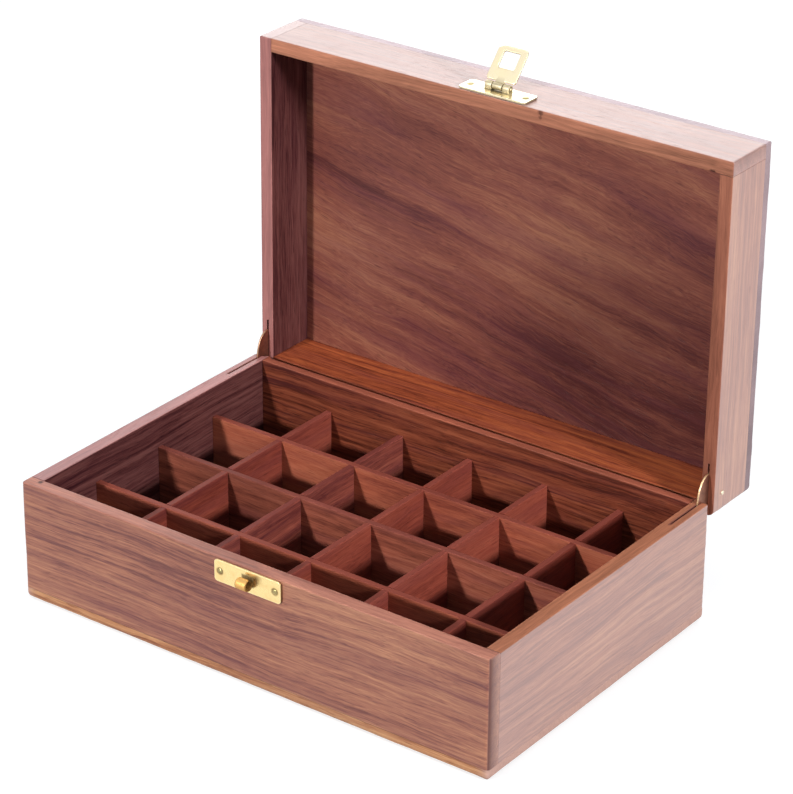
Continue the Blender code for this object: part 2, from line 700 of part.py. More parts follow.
def main():
    """Build the base, the lid on its hinge pins, and the hasp on its own pin."""
    clear_scene()
    make_bottom_board()
    make_front_wall()
    make_back_wall()
    make_dividers()
    make_catch_plate()
    lid = make_joint_empty("lid_joint", Vector((0, PIN_Y, PIN_Z)), OPEN_ANGLE)
    make_top_board(lid)
    make_lid_front_wall(lid)
    make_lid_back_wall(lid)
    for side_name, side in (("left", -1), ("right", 1)):
        make_side_wall(side_name, side)
        make_hinge_pin(side_name, side)
        make_lid_side_wall(side_name, side, lid)
        make_hinge_plate(side_name, side, lid)
        make_hinge_nail(side_name, side, lid)
    make_hasp_plate(lid)
    make_hasp_pin(lid)
    hasp_place = Vector((CLASP_OFFSET, HASP_PIN_Y - PIN_Y, HASP_PIN_Z - PIN_Z))
    hasp = make_joint_empty("hasp_joint", hasp_place, HASP_REST_ANGLE, lid)
    make_hasp(hasp)


main()
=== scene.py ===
"""The looks of an essential oil storage box in waxed dark red wood, with its lid open.

Every board is a closed surface worked out with numpy over the box of its own CAD node, with
edges rounded and worn by hand work, and its own wood: rings, streaks, pores and end grain
that run through it as they would through one plank. The lid and the hasp are worked out as
they lie when closed, and then turned as they stand at rest. Sizes are in metres.
"""

import json
import logging
import math
from collections.abc import Iterable
from dataclasses import dataclass, field, replace
from enum import Enum

import bmesh
import bpy
import numpy as np
from mathutils import Matrix, Vector


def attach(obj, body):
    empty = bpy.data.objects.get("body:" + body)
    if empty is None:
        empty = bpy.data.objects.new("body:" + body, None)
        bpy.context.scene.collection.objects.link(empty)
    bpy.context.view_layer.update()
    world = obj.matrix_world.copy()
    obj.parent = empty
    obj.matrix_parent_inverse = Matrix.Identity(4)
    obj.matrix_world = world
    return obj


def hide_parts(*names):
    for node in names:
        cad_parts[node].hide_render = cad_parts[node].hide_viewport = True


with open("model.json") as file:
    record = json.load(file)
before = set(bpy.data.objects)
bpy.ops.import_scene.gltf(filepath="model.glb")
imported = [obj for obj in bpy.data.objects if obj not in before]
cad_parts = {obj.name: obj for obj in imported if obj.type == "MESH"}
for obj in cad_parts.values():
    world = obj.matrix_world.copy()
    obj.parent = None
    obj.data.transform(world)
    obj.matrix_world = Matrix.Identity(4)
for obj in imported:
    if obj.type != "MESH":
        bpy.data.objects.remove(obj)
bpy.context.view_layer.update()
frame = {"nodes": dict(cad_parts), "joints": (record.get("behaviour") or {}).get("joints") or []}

Array = np.ndarray
Colour = tuple[float, float, float]
Socket = bpy.types.NodeSocket

logging.basicConfig(level=logging.INFO, format="%(message)s")
LOG = logging.getLogger("oil_box")

# What a metal piece's vertices are marked with: wear and painted highlight, painted shade,
# and a share of the tarnish colour, which paints shade on the curl
METAL_MARKS = ("wear", "grime", "tarnish")

# How many vertices are looked up at a time where marks are given back after a union
LOOK_UP_BATCH = 200

# The wood's edges: their radius at the back and top, elsewhere, and where a joint is flush
EDGE_ROUND = 0.0028
ARRIS = 0.0005
TIGHT_EDGE = 0.00003

# How far a glued side reaches towards its neighbour, and how deep the faces sink in waves
GLUE_REACH = 0.00028
WOBBLE = 0.00002

# The lengths of the waves that the faces sink in, and of those that an edge's radius varies in
SINK_WAVE = 0.055
LONG_WAVE = 0.021
SHORT_WAVE = 0.006

# How wide the strip of wear and painted highlight along an edge is, the finer strip of the lattice
# there, how far the marks of inner sides and rims reach round an edge, and those of ends in a joint
WEAR_AND_HIGHLIGHT_WIDTH = 0.0011
EDGE_ZONE = 0.0034
MARK_REACH = 0.0002
HIDDEN_END_REACH = 0.0001


def display(red: int, green: int, blue: int) -> Colour:
    """The light values of a colour that shows as these 0 to 255 values."""
    return tuple((value / 255) ** 2.2 for value in (red, green, blue))


def ripples(points: Array, wavelength: float, seed: int) -> Array:
    """Smooth uneven values, mostly between -1 and 1.

    The formula is the sum of six sine waves that run in random directions, each with its own
    phase and a length near the wavelength.

    Args:
        points: Places, one row each.
        wavelength: The waves' usual length.
        seed: Which random directions to take.

    Returns:
        One value for each place.
    """
    chance = np.random.default_rng(seed)
    directions = chance.normal(size=(6, 3))
    directions /= np.linalg.norm(directions, axis=1)[:, None]
    lengths = wavelength * chance.uniform(0.6, 1.7, 6)
    phases = chance.uniform(0, math.tau, 6)
    waves = np.sin(points @ (directions * (math.tau / lengths)[:, None]).T + phases)
    return waves.sum(axis=1) / 3


# How the parts stand

@dataclass(frozen=True)
class Stance:
    """How a body stands at rest, as a turn about a line along x from where it lies closed."""

    body: str
    pivot: tuple[float, float, float] = (0.0, 0.0, 0.0)
    angle: float = 0.0
    carrier: "Stance | None" = None

    def matrix(self) -> Matrix:
        """The move from closed to rest."""
        pivot = Vector(self.pivot)
        turn = Matrix.Rotation(-self.angle, 4, "X")
        move = Matrix.Translation(pivot) @ turn @ Matrix.Translation(-pivot)
        return self.carrier.matrix() @ move if self.carrier else move

    def to_rest(self, points: Array) -> Array:
        """Closed places as they are at rest."""
        return carried(self.matrix(), points)

    def to_closed(self, points: Array) -> Array:
        """Places at rest as they are when closed."""
        return carried(self.matrix().inverted(), points)


def carried(matrix: Matrix, points: Array) -> Array:
    """Points moved by a matrix: each is turned, and then shifted."""
    whole = np.array(matrix)
    return points @ whole[:3, :3].T + whole[:3, 3]


def joint_named(name: str) -> dict:
    """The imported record's entry for a joint."""
    return next(joint for joint in frame["joints"] if joint["name"] == name)


def stances() -> tuple[Stance, Stance, Stance]:
    """The stances of the base, the lid and the hasp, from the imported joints."""
    lid_joint = joint_named("lid_hinge")
    hasp_joint = joint_named("hasp_hinge")
    lid = Stance("lid", tuple(lid_joint["pos_m"]), math.radians(lid_joint["range_deg"][1]))
    pin = lid.to_closed(np.array([hasp_joint["pos_m"]]))[0]
    hasp = Stance("hasp", tuple(pin), math.radians(hasp_joint["range_deg"][1]), lid)
    return Stance("base"), lid, hasp


def closed_box(node: str, stance: Stance) -> tuple[Array, Array]:
    """A CAD node's lowest and highest corners, measured as it lies when closed.

    Args:
        node: The node's name.
        stance: How its body stands.

    Returns:
        The lowest and the highest corner.
    """
    points = stance.to_closed(mesh_points(frame["nodes"][node].data))
    return points.min(axis=0), points.max(axis=0)


# Meshes from arrays

def new_mesh_piece(name: str, points: Array, faces: list, **marks: Array) -> bpy.types.Object:
    """An object with a smooth mesh made from arrays.

    Args:
        name: The piece's name.
        points: Its vertices.
        faces: Its faces, as rows of vertex numbers.
        marks: Values from 0 to 1 for each vertex that its material reads, such as its wear and
            painted highlight.

    Returns:
        The new object, at the origin.
    """
    mesh = bpy.data.meshes.new(name)
    mesh.from_pydata(points.tolist(), [], faces)
    mesh.update()
    mesh.shade_smooth()
    for word, values in marks.items():
        data = mesh.attributes.new(word, "FLOAT", "POINT").data
        data.foreach_set("value", values.astype(np.float32))
    piece = bpy.data.objects.new(name, mesh)
    bpy.context.scene.collection.objects.link(piece)
    return piece


def grid_faces(rows: int, columns: int, close_rows: bool, close_columns: bool) -> Array:
    """The four-sided faces of a grid of points, kept row by row.

    Args:
        rows: How many rows of points.
        columns: How many points in a row.
        close_rows: Whether the last row joins the first.
        close_columns: Whether each row's last point joins its first.

    Returns:
        The faces, each as four point numbers.
    """
    down = np.arange(rows if close_rows else rows - 1)[:, None]
    along = np.arange(columns if close_columns else columns - 1)[None, :]
    next_down = (down + 1) % rows
    next_along = (along + 1) % columns
    corners = (
        down * columns + along,
        down * columns + next_along,
        next_down * columns + next_along,
        next_down * columns + along,
    )
    return np.stack(corners, axis=-1).reshape(-1, 4)


def prism(name: str, outline: Array, start: float, end: float, matrix: Matrix) -> bpy.types.Object:
    """A flat outline in y and z, given a thickness from one x to another, as a cutter."""
    count = len(outline)
    ends = [np.column_stack([np.full(count, x), outline]) for x in (start, end)]
    faces = grid_faces(2, count, False, True).tolist()
    faces += [list(range(count)), list(range(2 * count - 1, count - 1, -1))]
    piece = new_mesh_piece(name, carried(matrix, np.vstack(ends)), faces)
    outward(piece)
    return piece


def outward(piece: bpy.types.Object) -> None:
    """Merge a closed mesh's doubled points and turn all its faces outwards."""
    shape = bmesh.new()
    shape.from_mesh(piece.data)
    bmesh.ops.remove_doubles(shape, verts=shape.verts, dist=1e-7)
    bmesh.ops.recalc_face_normals(shape, faces=shape.faces)
    shape.to_mesh(piece.data)
    shape.free()


def mesh_points(mesh: bpy.types.Mesh) -> Array:
    """The places of a mesh's vertices."""
    flat = np.empty(len(mesh.vertices) * 3, np.float32)
    mesh.vertices.foreach_get("co", flat)
    return flat.reshape(-1, 3).astype(float)


def mark_values(mesh: bpy.types.Mesh, word: str) -> Array:
    """A mesh's marks of one kind, one for each vertex."""
    values = np.empty(len(mesh.vertices), np.float32)
    mesh.attributes[word].data.foreach_get("value", values)
    return values


def join(piece: bpy.types.Object, other: bpy.types.Object) -> None:
    """Join a piece with another for good, where each vertex keeps its marks.

    The solver mixes the marks up, so afterwards each vertex takes those of the nearest vertex
    that either mesh had before.
    """
    meshes = (piece.data, other.data)
    before = np.vstack([mesh_points(mesh) for mesh in meshes])
    marks = {
        word: np.concatenate([mark_values(mesh, word) for mesh in meshes]) for word in METAL_MARKS
    }
    carve(piece, other, "UNION")
    after = mesh_points(piece.data)
    batches = np.array_split(after, len(after) // LOOK_UP_BATCH + 1)
    nearest = [
        np.square(batch[:, None] - before).sum(axis=2).argmin(axis=1) for batch in batches
    ]
    for word, values in marks.items():
        piece.data.attributes[word].data.foreach_set("value", values[np.concatenate(nearest)])


def carve(piece: bpy.types.Object, cutter: bpy.types.Object, operation: str = "DIFFERENCE") -> None:
    """Cut or join a piece with another for good, and take the other away."""
    change = piece.modifiers.new("cut", "BOOLEAN")
    change.operation = operation
    change.solver = "EXACT"
    change.object = cutter
    graph = bpy.context.evaluated_depsgraph_get()
    mesh = bpy.data.meshes.new_from_object(piece.evaluated_get(graph))
    piece.modifiers.clear()
    piece.data = mesh
    bpy.data.objects.remove(cutter)
    close_slivers(mesh)
    mesh.set_sharp_from_angle(angle=math.radians(50))


def close_slivers(mesh: bpy.types.Mesh) -> None:
    """Fill the tiny triangles that the solver now and then leaves open beside a cut."""
    shape = bmesh.new()
    shape.from_mesh(mesh)
    open_edges = [edge for edge in shape.edges if edge.is_boundary]
    if open_edges:
        bmesh.ops.holes_fill(shape, edges=open_edges, sides=4)
        bmesh.ops.recalc_face_normals(shape, faces=shape.faces)
        shape.to_mesh(mesh)
    shape.free()


def settle(piece: bpy.types.Object, node: str, body: str) -> None:
    """Let a finished piece stand for its CAD node, and ride on its body."""
    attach(piece, body)
    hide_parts(node)
    LOG.info("%s stands for %s on %s, %d faces", piece.name, node, body, len(piece.data.polygons))


# Shader nodes

@dataclass(frozen=True)
class Figure:
    """Cloudy noise drawn out along x, to one over this share of its length."""

    share: float
    scale: float
    detail: float = 2.0
    rough: float = 0.5


class Shade:
    """A material in the making, with a short way to lay and link its nodes."""

    def __init__(self, name: str) -> None:
        """Start a material with only its shader."""
        self.material = bpy.data.materials.new(name)
        self.material.use_nodes = True
        self.tree = self.material.node_tree
        self.shader = self.tree.nodes["Principled BSDF"]

    def add(self, kind: str, inputs: dict | None = None, **settings: object) -> bpy.types.Node:
        """Lay a node.

        Args:
            kind: The node's type name after "ShaderNode".
            inputs: Values or sockets for its inputs, by name or number.
            settings: Values for its own settings.

        Returns:
            The node.
        """
        node = self.tree.nodes.new("ShaderNode" + kind)
        for name, value in settings.items():
            setattr(node, name, value)
        for key, value in (inputs or {}).items():
            self.feed(node.inputs[key], value)
        return node

    def feed(self, socket: Socket, value: object) -> None:
        """Link a socket to another, or give it a plain value."""
        if isinstance(value, Socket):
            self.tree.links.new(value, socket)
        else:
            socket.default_value = value

    def math(self, operation: str, first: object, second: object = 0.0) -> Socket:
        """The result of a Math node."""
        return self.add("Math", {0: first, 1: second}, operation=operation).outputs[0]

    def vector(self, operation: str, first: object, second: object = (0, 0, 0)) -> Socket:
        """The result of a Vector Math node, as a vector or for LENGTH and DOT_PRODUCT a number."""
        node = self.add("VectorMath", {0: first, 1: second}, operation=operation)
        scalar = operation in ("LENGTH", "DOT_PRODUCT")
        return node.outputs["Value" if scalar else "Vector"]

    def noise(self, place: object, scale: float, detail: float = 2.0, rough: float = 0.5) -> Socket:
        """Cloudy values from 0 to 1 at a place, with features about one over the scale wide."""
        inputs = {"Vector": place, "Scale": scale, "Detail": detail, "Roughness": rough}
        return self.add("TexNoise", inputs).outputs[0]

    def drawn_out(self, place: object, figure: Figure) -> Socket:
        """A figure's values from 0 to 1 at a place."""
        drawn = self.vector("MULTIPLY", place, (figure.share, 1, 1))
        return self.noise(drawn, figure.scale, figure.detail, figure.rough)

    def spread(self, value: object, low: float, high: float, bottom: float = 0.0,
               top: float = 1.0) -> Socket:
        """A value's range from low to high spread over bottom to top, and held there."""
        ends = {"From Min": low, "From Max": high, "To Min": bottom, "To Max": top}
        return self.add("MapRange", {"Value": value, **ends}).outputs["Result"]

    def mark(self, word: str) -> Socket:
        """What the mesh's vertices are marked with under a word."""
        return self.add("Attribute", attribute_name=word).outputs["Fac"]

    def mix(self, share: object, first: object, second: object, blend: str = "MIX") -> Socket:
        """Two colours mixed, with a share of the second."""
        node = self.add("Mix", data_type="RGBA", blend_type=blend)
        self.feed(node.inputs[0], share)
        self.feed(node.inputs[6], solid(first))
        self.feed(node.inputs[7], solid(second))
        return node.outputs[2]

    def cover(self, colour: object, mark: Socket, share: float, other: object) -> Socket:
        """A colour that another covers where a mark is 1, with this share of the other."""
        return self.mix(self.math("MULTIPLY", mark, share), colour, other)

    def ramp(self, value: object, stops: list[tuple[float, Colour]]) -> Socket:
        """A colour that changes with a value, through the stops' places and colours."""
        node = self.add("ValToRGB", {0: value})
        row = node.color_ramp.elements
        while len(row) < len(stops):
            row.new(0.5)
        for element, (place, colour) in zip(row, stops):
            element.position = place
            element.color = (*colour, 1.0)
        return node.outputs[0]

    def bump(self, height: object, distance: float) -> None:
        """Raise the surface by a height from 0 to 1 times a distance."""
        node = self.add("Bump", {"Height": height, "Distance": distance, "Strength": 1.0})
        self.feed(self.shader.inputs["Normal"], node.outputs[0])

    def finish(self, **values: object) -> bpy.types.Material:
        """Feed the shader's own sockets, where a word gap is written as an underscore."""
        for name, value in values.items():
            self.feed(self.shader.inputs[name.replace("_", " ")], value)
        return self.material


def solid(colour: object) -> object:
    """A plain colour with its alpha, or a socket as it is."""
    return colour if isinstance(colour, Socket) else (*colour, 1.0)


# Wood

# The pale colour of the painted sheen on outer faces and sawn ends, standing in for the reflection
# of the white surroundings, and the colour of chips, stains and the painted shadow on the lid's
# panel
SHEEN_PAINT = display(214, 184, 176)
DARK_PLACE = display(50, 24, 24)

# By what a wood's dark tone is multiplied in its pores, and its light tone for wear and painted
# highlight
DEEPER = 0.62
PALER = 1.18

# How far grain and pores raise the wood's surface
GRAIN_RELIEF = 0.00007

# What the wood's figure is made of. Fibres count for the same in every wood.
STREAKS = Figure(0.028, 820.0, 4.0, 0.60)
FIBRES = Figure(0.05, 2600.0, 2.0, 0.60)
FIBRE_SHARE = 0.22
PORES = Figure(0.08, 1700.0, 1.0)
CLOUDS = Figure(0.25, 32.0, 3.0)
TINGES = Figure(0.06, 150.0)

# By how much each step of a seed moves a plank on in the pattern, and in its rings
SEED_STEP = (0.37, 0.73, 0.53)
RING_STEP = 7.3

# Where the deep, dark, middle, light and pale colours lie on the scale of tones
TONE_PLACES = (0.0, 0.25, 0.52, 0.78, 1.0)

# How much the edges take of the pale colour: wear, and a painted highlight along their rounding
WEAR_AND_HIGHLIGHT_SHARE = 0.14


class Grain(Enum):
    """How a plank was cut: the way of its fibres, and the way across its wide face."""

    WIDE_WALL = ((1, 0, 0), (0, 0, 1))
    DEEP_WALL = ((0, 1, 0), (0, 0, 1))
    FLAT_BOARD = ((1, 0, 0), (0, 1, 0))


@dataclass(frozen=True)
class Spot:
    """A dark place in a board: a small ragged chip, a wide soft stain, or a wide soft painted
    shadow.
    """

    centre: tuple[float, float, float]
    radius: float
    share: float = 0.85
    ragged: float = 1.0


@dataclass(frozen=True)
class WoodFinish:
    """One plank's wood: its colours, and how strong and how wide its figure is."""

    dark: Colour
    middle: Colour
    light: Colour
    inside: Colour = (1.0, 1.0, 1.0)
    rim: Colour = display(136, 80, 70)
    rim_share: float = 0.5
    rim_figure: float = 0.30
    end: Colour | None = None
    end_share: float = 0.25
    # The share of painted sheen on sawn ends
    end_sheen_share: float = 0.0
    slope: tuple[float, float, float] = (0.0, 0.0, 0.0)
    ring_width: float = 0.0034
    ring_share: float = 0.42
    streak_share: float = 0.46
    cloud_share: float = 0.34
    wander: float = 0.010
    tilt: float = 0.0
    pith: tuple[float, float] = (0.070, 0.022)
    pore_share: float = 0.50
    tinge: Colour = display(104, 56, 64)
    tinge_share: float = 0.30
    # The share of painted sheen on outer faces
    sheen_share: float = 0.0
    roughness: float = 0.44
    coat: float = 0.30
    gloss: float = 0.5

    @property
    def deep(self) -> Colour:
        """A colour below its darkest tone."""
        return tuple(DEEPER * value for value in self.dark)

    @property
    def pale(self) -> Colour:
        """A colour above its lightest tone."""
        return tuple(min(PALER * value, 1.0) for value in self.light)

    def dress(self, piece: bpy.types.Object, grain: Grain, stance: Stance, middle: Array,
              seed: int, spots: tuple[Spot, ...]) -> None:
        """Give a piece this wood.

        The plank's own coordinates run along the fibres, across the wide face and through it.
        Streaks, fibres and pores are cloudy noise drawn out along the fibres.

        Args:
            piece: The piece to dress.
            grain: How its plank was cut.
            stance: How its body stands.
            middle: The middle of the plank when closed.
            seed: Which part of the endless pattern it takes.
            spots: Its dark places, as they lie when closed.
        """
        shade = Shade(f"{piece.name}_grain")
        laid = self.lay(shade, grain, stance, middle)
        shift = tuple(step * seed for step in SEED_STEP)
        loose = shade.vector("ADD", laid, shift)
        bent = self.wandering(shade, laid, loose)
        rings = self.rings(shade, bent, RING_STEP * seed)
        bent = shade.vector("ADD", bent, shift)
        streaks = shade.drawn_out(bent, STREAKS)
        fibres = shade.drawn_out(bent, FIBRES)
        pores = shade.spread(shade.drawn_out(bent, PORES), 0.62, 0.76)
        clouds = shade.drawn_out(loose, CLOUDS)
        rings = shade.spread(rings, 0.28, 0.72, -1, 1)
        tone = shade.math("MULTIPLY_ADD", rings, self.ring_share / 2)
        tone.node.inputs[2].default_value = 0.5
        for values, share in (
            (streaks, self.streak_share),
            (clouds, self.cloud_share),
            (fibres, FIBRE_SHARE),
        ):
            change = shade.math("MULTIPLY", shade.spread(values, 0.30, 0.70, -1, 1), share / 2)
            tone = shade.math("ADD", tone, change)
        # A steady slope of tone across the plank, which on the lid's panel is painted shade
        tone = shade.math("ADD", tone, shade.vector("DOT_PRODUCT", laid, self.slope))
        colour = self.own_colour(shade, tone, bent, pores)
        colour = self.marked(shade, colour, tone)
        colour = self.spotted(shade, colour, stance, spots)
        rough = shade.spread(streaks, 0.3, 0.7, self.roughness - 0.06, self.roughness + 0.08)
        rough = shade.math("ADD", rough, shade.math("MULTIPLY", pores, 0.15))
        fine = shade.math("MULTIPLY", fibres, 0.35)
        height = shade.math("ADD", fine, shade.math("MULTIPLY", streaks, 0.4))
        shade.bump(shade.math("SUBTRACT", height, pores), GRAIN_RELIEF)
        outside = shade.mark("outside")
        piece.data.materials.append(shade.finish(
            Base_Color=colour,
            Roughness=rough,
            Coat_Weight=shade.math("MULTIPLY", outside, self.coat),
            Coat_Roughness=0.28,
            Specular_IOR_Level=shade.spread(outside, 0.0, 1.0, 0.3 * self.gloss, self.gloss),
        ))

    def wandering(self, shade: Shade, laid: Socket, loose: Socket) -> Socket:
        """The plank's coordinates, pushed to and fro across the fibres by slow noise."""
        place = shade.vector("MULTIPLY", loose, (0.45, 1, 1))
        slow = {"Vector": place, "Scale": 20.0, "Detail": 4.0}
        drift = shade.add("TexNoise", slow).outputs["Color"]
        drift = shade.vector("SUBTRACT", drift, (0.5, 0.5, 0.5))
        drift = shade.vector("MULTIPLY", drift, (0, self.wander, self.wander))
        return shade.vector("ADD", laid, drift)

    def rings(self, shade: Shade, bent: Socket, start: float) -> Socket:
        """Year rings: a row of uneven bands over the distance from a pith line."""
        flat = shade.vector("MULTIPLY", bent, (0, 1, 1))
        from_pith = shade.vector("LENGTH", shade.vector("ADD", flat, (0, *self.pith)))
        reach = shade.math("ADD", shade.math("DIVIDE", from_pith, self.ring_width), start)
        bands = {"W": reach, "Scale": 1.0, "Detail": 4.0, "Roughness": 0.68}
        return shade.add("TexNoise", bands, noise_dimensions="1D").outputs[0]

    def own_colour(self, shade: Shade, tone: Socket, bent: Socket, pores: Socket) -> Socket:
        """The plank's own colour: by its tone, tinged in long patches, and deep in its pores."""
        colours = (self.deep, self.dark, self.middle, self.light, self.pale)
        colour = shade.ramp(tone, list(zip(TONE_PLACES, colours)))
        tinged = shade.spread(shade.drawn_out(bent, TINGES), 0.45, 0.70, 0.0, self.tinge_share)
        colour = shade.mix(tinged, colour, self.tinge)
        return shade.cover(colour, pores, self.pore_share, self.deep)

    def marked(self, shade: Shade, colour: Socket, tone: Socket) -> Socket:
        """The colour as the vertices' marks change it, from edges of wear and painted highlight to
        cut ends.
        """
        # Edges lighten with wear and a painted highlight
        colour = shade.cover(colour, shade.mark("wear"), WEAR_AND_HIGHLIGHT_SHARE, self.pale)
        # Inner faces take the inside colour, which in some woods is painted shade
        inner_colour = shade.mix(1.0, colour, self.inside, "MULTIPLY")
        colour = shade.mix(shade.mark("inside"), colour, inner_colour)
        # Outer faces take a share of painted sheen
        colour = shade.cover(colour, shade.mark("outside"), self.sheen_share, SHEEN_PAINT)
        rim_tone = shade.spread(tone, 0.0, 1.0, 1 - self.rim_figure, 1 + self.rim_figure)
        rim_colour = shade.mix(1.0, self.rim, rim_tone, "MULTIPLY")
        colour = shade.cover(colour, shade.mark("rim"), self.rim_share, rim_colour)
        # Sawn ends take a share of painted sheen
        colour = shade.cover(colour, shade.mark("sawn"), self.end_sheen_share, SHEEN_PAINT)
        return shade.cover(colour, shade.mark("cut"), self.end_share, self.end or self.deep)

    def lay(self, shade: Shade, grain: Grain, stance: Stance, middle: Array) -> Socket:
        """The plank's own coordinates: along its fibres, across its wide face and through it."""
        fibres, across = (Vector(way) for way in grain.value)
        through = fibres.cross(across)
        turn = Matrix.Rotation(math.radians(self.tilt), 3, "Z") @ Matrix((fibres, across, through))
        move = turn.to_4x4() @ Matrix.Translation(-Vector(middle)) @ stance.matrix().inverted()
        place = shade.add("TexCoord").outputs["Object"]
        laid = {"Location": move.to_translation(), "Rotation": move.to_euler("XYZ")}
        return shade.add("Mapping", {"Vector": place, **laid}).outputs[0]

    def spotted(self, shade: Shade, colour: Socket, stance: Stance,
                spots: tuple[Spot, ...]) -> Socket:
        """The colour with its chips, stains and painted shadows, each fading out over a ragged
        edge.
        """
        place = shade.add("TexCoord").outputs["Object"]
        ragged = shade.math("SUBTRACT", shade.noise(place, 1100.0, 3.0, 0.7), 0.5)
        for spot in spots:
            centre = tuple(stance.to_rest(np.array([spot.centre]))[0])
            away = shade.vector("LENGTH", shade.vector("SUBTRACT", place, centre))
            border = shade.math("MULTIPLY", ragged, spot.ragged)
            away = shade.math("ADD", shade.math("DIVIDE", away, spot.radius), border)
            colour = shade.mix(shade.spread(away, 0.4, 1.0, spot.share, 0.0), colour, DARK_PLACE)
        return colour


# Its sawn ends take a share of painted sheen
FRONT_WOOD = WoodFinish(
    display(114, 66, 60), display(158, 101, 82), display(184, 127, 98),
    rim=display(180, 118, 101), rim_share=0.75, rim_figure=0.45, end_share=0.95, end_sheen_share=0.30,
    ring_share=0.32, streak_share=0.44, tinge_share=0.36, coat=0.12, gloss=0.35,
)
# Its outer faces take a share of painted sheen, the base's right face among them
PINK_WOOD = WoodFinish(
    display(130, 80, 70), display(170, 112, 92), display(194, 140, 112),
    rim=display(190, 121, 90), rim_share=0.85, rim_figure=0.40, sheen_share=0.38, pore_share=0.35,
    coat=0.16,
)
# It keeps the painted sheen on its outer face
BLUSH_WOOD = replace(PINK_WOOD, rim=display(148, 90, 70))
# Its outer faces take a share of painted sheen; the lid's front wall faces up at rest
ROSE_WOOD = WoodFinish(
    display(130, 80, 72), display(170, 112, 98), display(194, 140, 120),
    rim=display(173, 112, 86), rim_share=0.88, rim_figure=0.50, end_share=0.40, sheen_share=0.42,
    pore_share=0.35, coat=0.18,
)
# Its tone slopes darker towards the right and its lower side at rest: painted shade. Its pale rims
# on the right and front edges are painted sheen
PANEL_WOOD = WoodFinish(
    display(92, 50, 46), display(130, 75, 61), display(158, 101, 76),
    inside=(1.03, 1.06, 1.16), rim=display(212, 188, 193), rim_share=0.80, end_share=0.38,
    slope=(-0.5, -1.0, 0.0), ring_width=0.012, ring_share=0.30, streak_share=0.18,
    cloud_share=0.50, wander=0.020, tilt=-11.0, roughness=0.40,
)
ORANGE_WOOD = WoodFinish(
    display(104, 52, 36), display(156, 84, 54), display(182, 106, 64),
    inside=(1.15, 1.00, 1.00), rim=display(120, 60, 44), ring_share=0.44,
)
BROWN_WOOD = WoodFinish(
    display(92, 48, 34), display(142, 78, 54), display(170, 100, 68),
    inside=(0.77, 0.65, 0.70), rim=display(180, 102, 80), rim_share=0.8,
)
# Its inside colour darkens its inner faces: painted shade. Its outer faces take a small share of
# painted sheen
PURPLE_WOOD = WoodFinish(
    display(92, 50, 52), display(142, 88, 82), display(170, 114, 104),
    inside=(0.43, 0.38, 0.42), rim=display(182, 128, 124), rim_share=0.75, sheen_share=0.08,
)
# It keeps the painted shade on its inner face. Its pale end colour is partly painted sheen, on the
# front end that faces up at rest
PLUM_WOOD = replace(
    PURPLE_WOOD, rim=display(180, 120, 114), rim_share=0.85, end=display(194, 156, 149),
    end_share=0.90,
)
RED_WOOD = WoodFinish(
    display(128, 64, 52), display(170, 92, 69), display(190, 112, 84),
    rim=display(142, 75, 64), rim_share=0.85, ring_share=0.18, streak_share=0.18,
    cloud_share=0.44, coat=0.0, gloss=0.08,
)
CRIMSON_WOOD = replace(
    RED_WOOD, dark=display(112, 52, 44), middle=display(148, 74, 60), light=display(168, 90, 72),
)
DUSKY_WOOD = WoodFinish(
    display(100, 50, 48), display(146, 78, 66), display(166, 96, 80),
    rim=display(130, 68, 61), rim_share=0.85, ring_share=0.26, streak_share=0.28,
    coat=0.0, gloss=0.08,
)
RUSSET_WOOD = WoodFinish(
    display(108, 58, 48), display(154, 86, 68), display(176, 106, 84),
    rim=display(144, 79, 69), rim_share=0.85, ring_width=0.004, ring_share=0.26,
    streak_share=0.22, coat=0.0, gloss=0.08,
)
# Its inside colour makes the floor of the cells darker and cooler: painted shade
GOLDEN_WOOD = WoodFinish(
    display(148, 92, 66), display(190, 132, 94), display(212, 158, 114),
    inside=(0.34, 0.42, 0.62), rim=display(200, 160, 148), rim_share=0.92, rim_figure=0.08,
    end_share=0.0, tinge_share=0.20, coat=0.0, gloss=0.2,
)


# Boards

class Side(Enum):
    """A side of a board: the axis that it faces along, and which way."""

    LEFT = (0, -1)
    RIGHT = (0, 1)
    FRONT = (1, -1)
    BACK = (1, 1)
    BOTTOM = (2, -1)
    TOP = (2, 1)

    @property
    def opposite(self) -> "Side":
        """The side across from it."""
        axis, way = self.value
        return Side((axis, -way))


Edge = tuple[Side, Side]
ALL_EDGES = tuple((one, two) for one in Side for two in Side if one.value[0] < two.value[0])
LOW_EDGES = tuple(edge for edge in ALL_EDGES if Side.BOTTOM in edge)
HIGH_EDGES = tuple(edge for edge in ALL_EDGES if Side.TOP in edge)
UPRIGHT_CORNERS = tuple(edge for edge in ALL_EDGES if edge not in LOW_EDGES + HIGH_EDGES)
FRONT_CORNERS = ((Side.LEFT, Side.FRONT), (Side.RIGHT, Side.FRONT))
ENDS_BEHIND = ((Side.LEFT, Side.BACK), (Side.RIGHT, Side.BACK))


def corner_rounds(front: float, back: float) -> dict[Edge, float]:
    """The radii of the four upright corners."""
    return {edge: front if Side.FRONT in edge else back for edge in UPRIGHT_CORNERS}


def steps_between(start: float, end: float, zone: float, spacing: float) -> Array:
    """Places from start to end that lie close together near both ends.

    Within the zone at each end the distance from the end grows as a power of the step, and
    between the zones the places are about a spacing apart.
    """
    zone = min(zone, 0.45 * (end - start))
    near = zone * np.linspace(0, 1, 8) ** 1.7
    count = max(2, int(round((end - start - 2 * zone) / spacing)) + 1)
    between = np.linspace(start + zone, end - zone, count)[1:-1]
    return np.concatenate([start + near, between, (end - near)[::-1]])


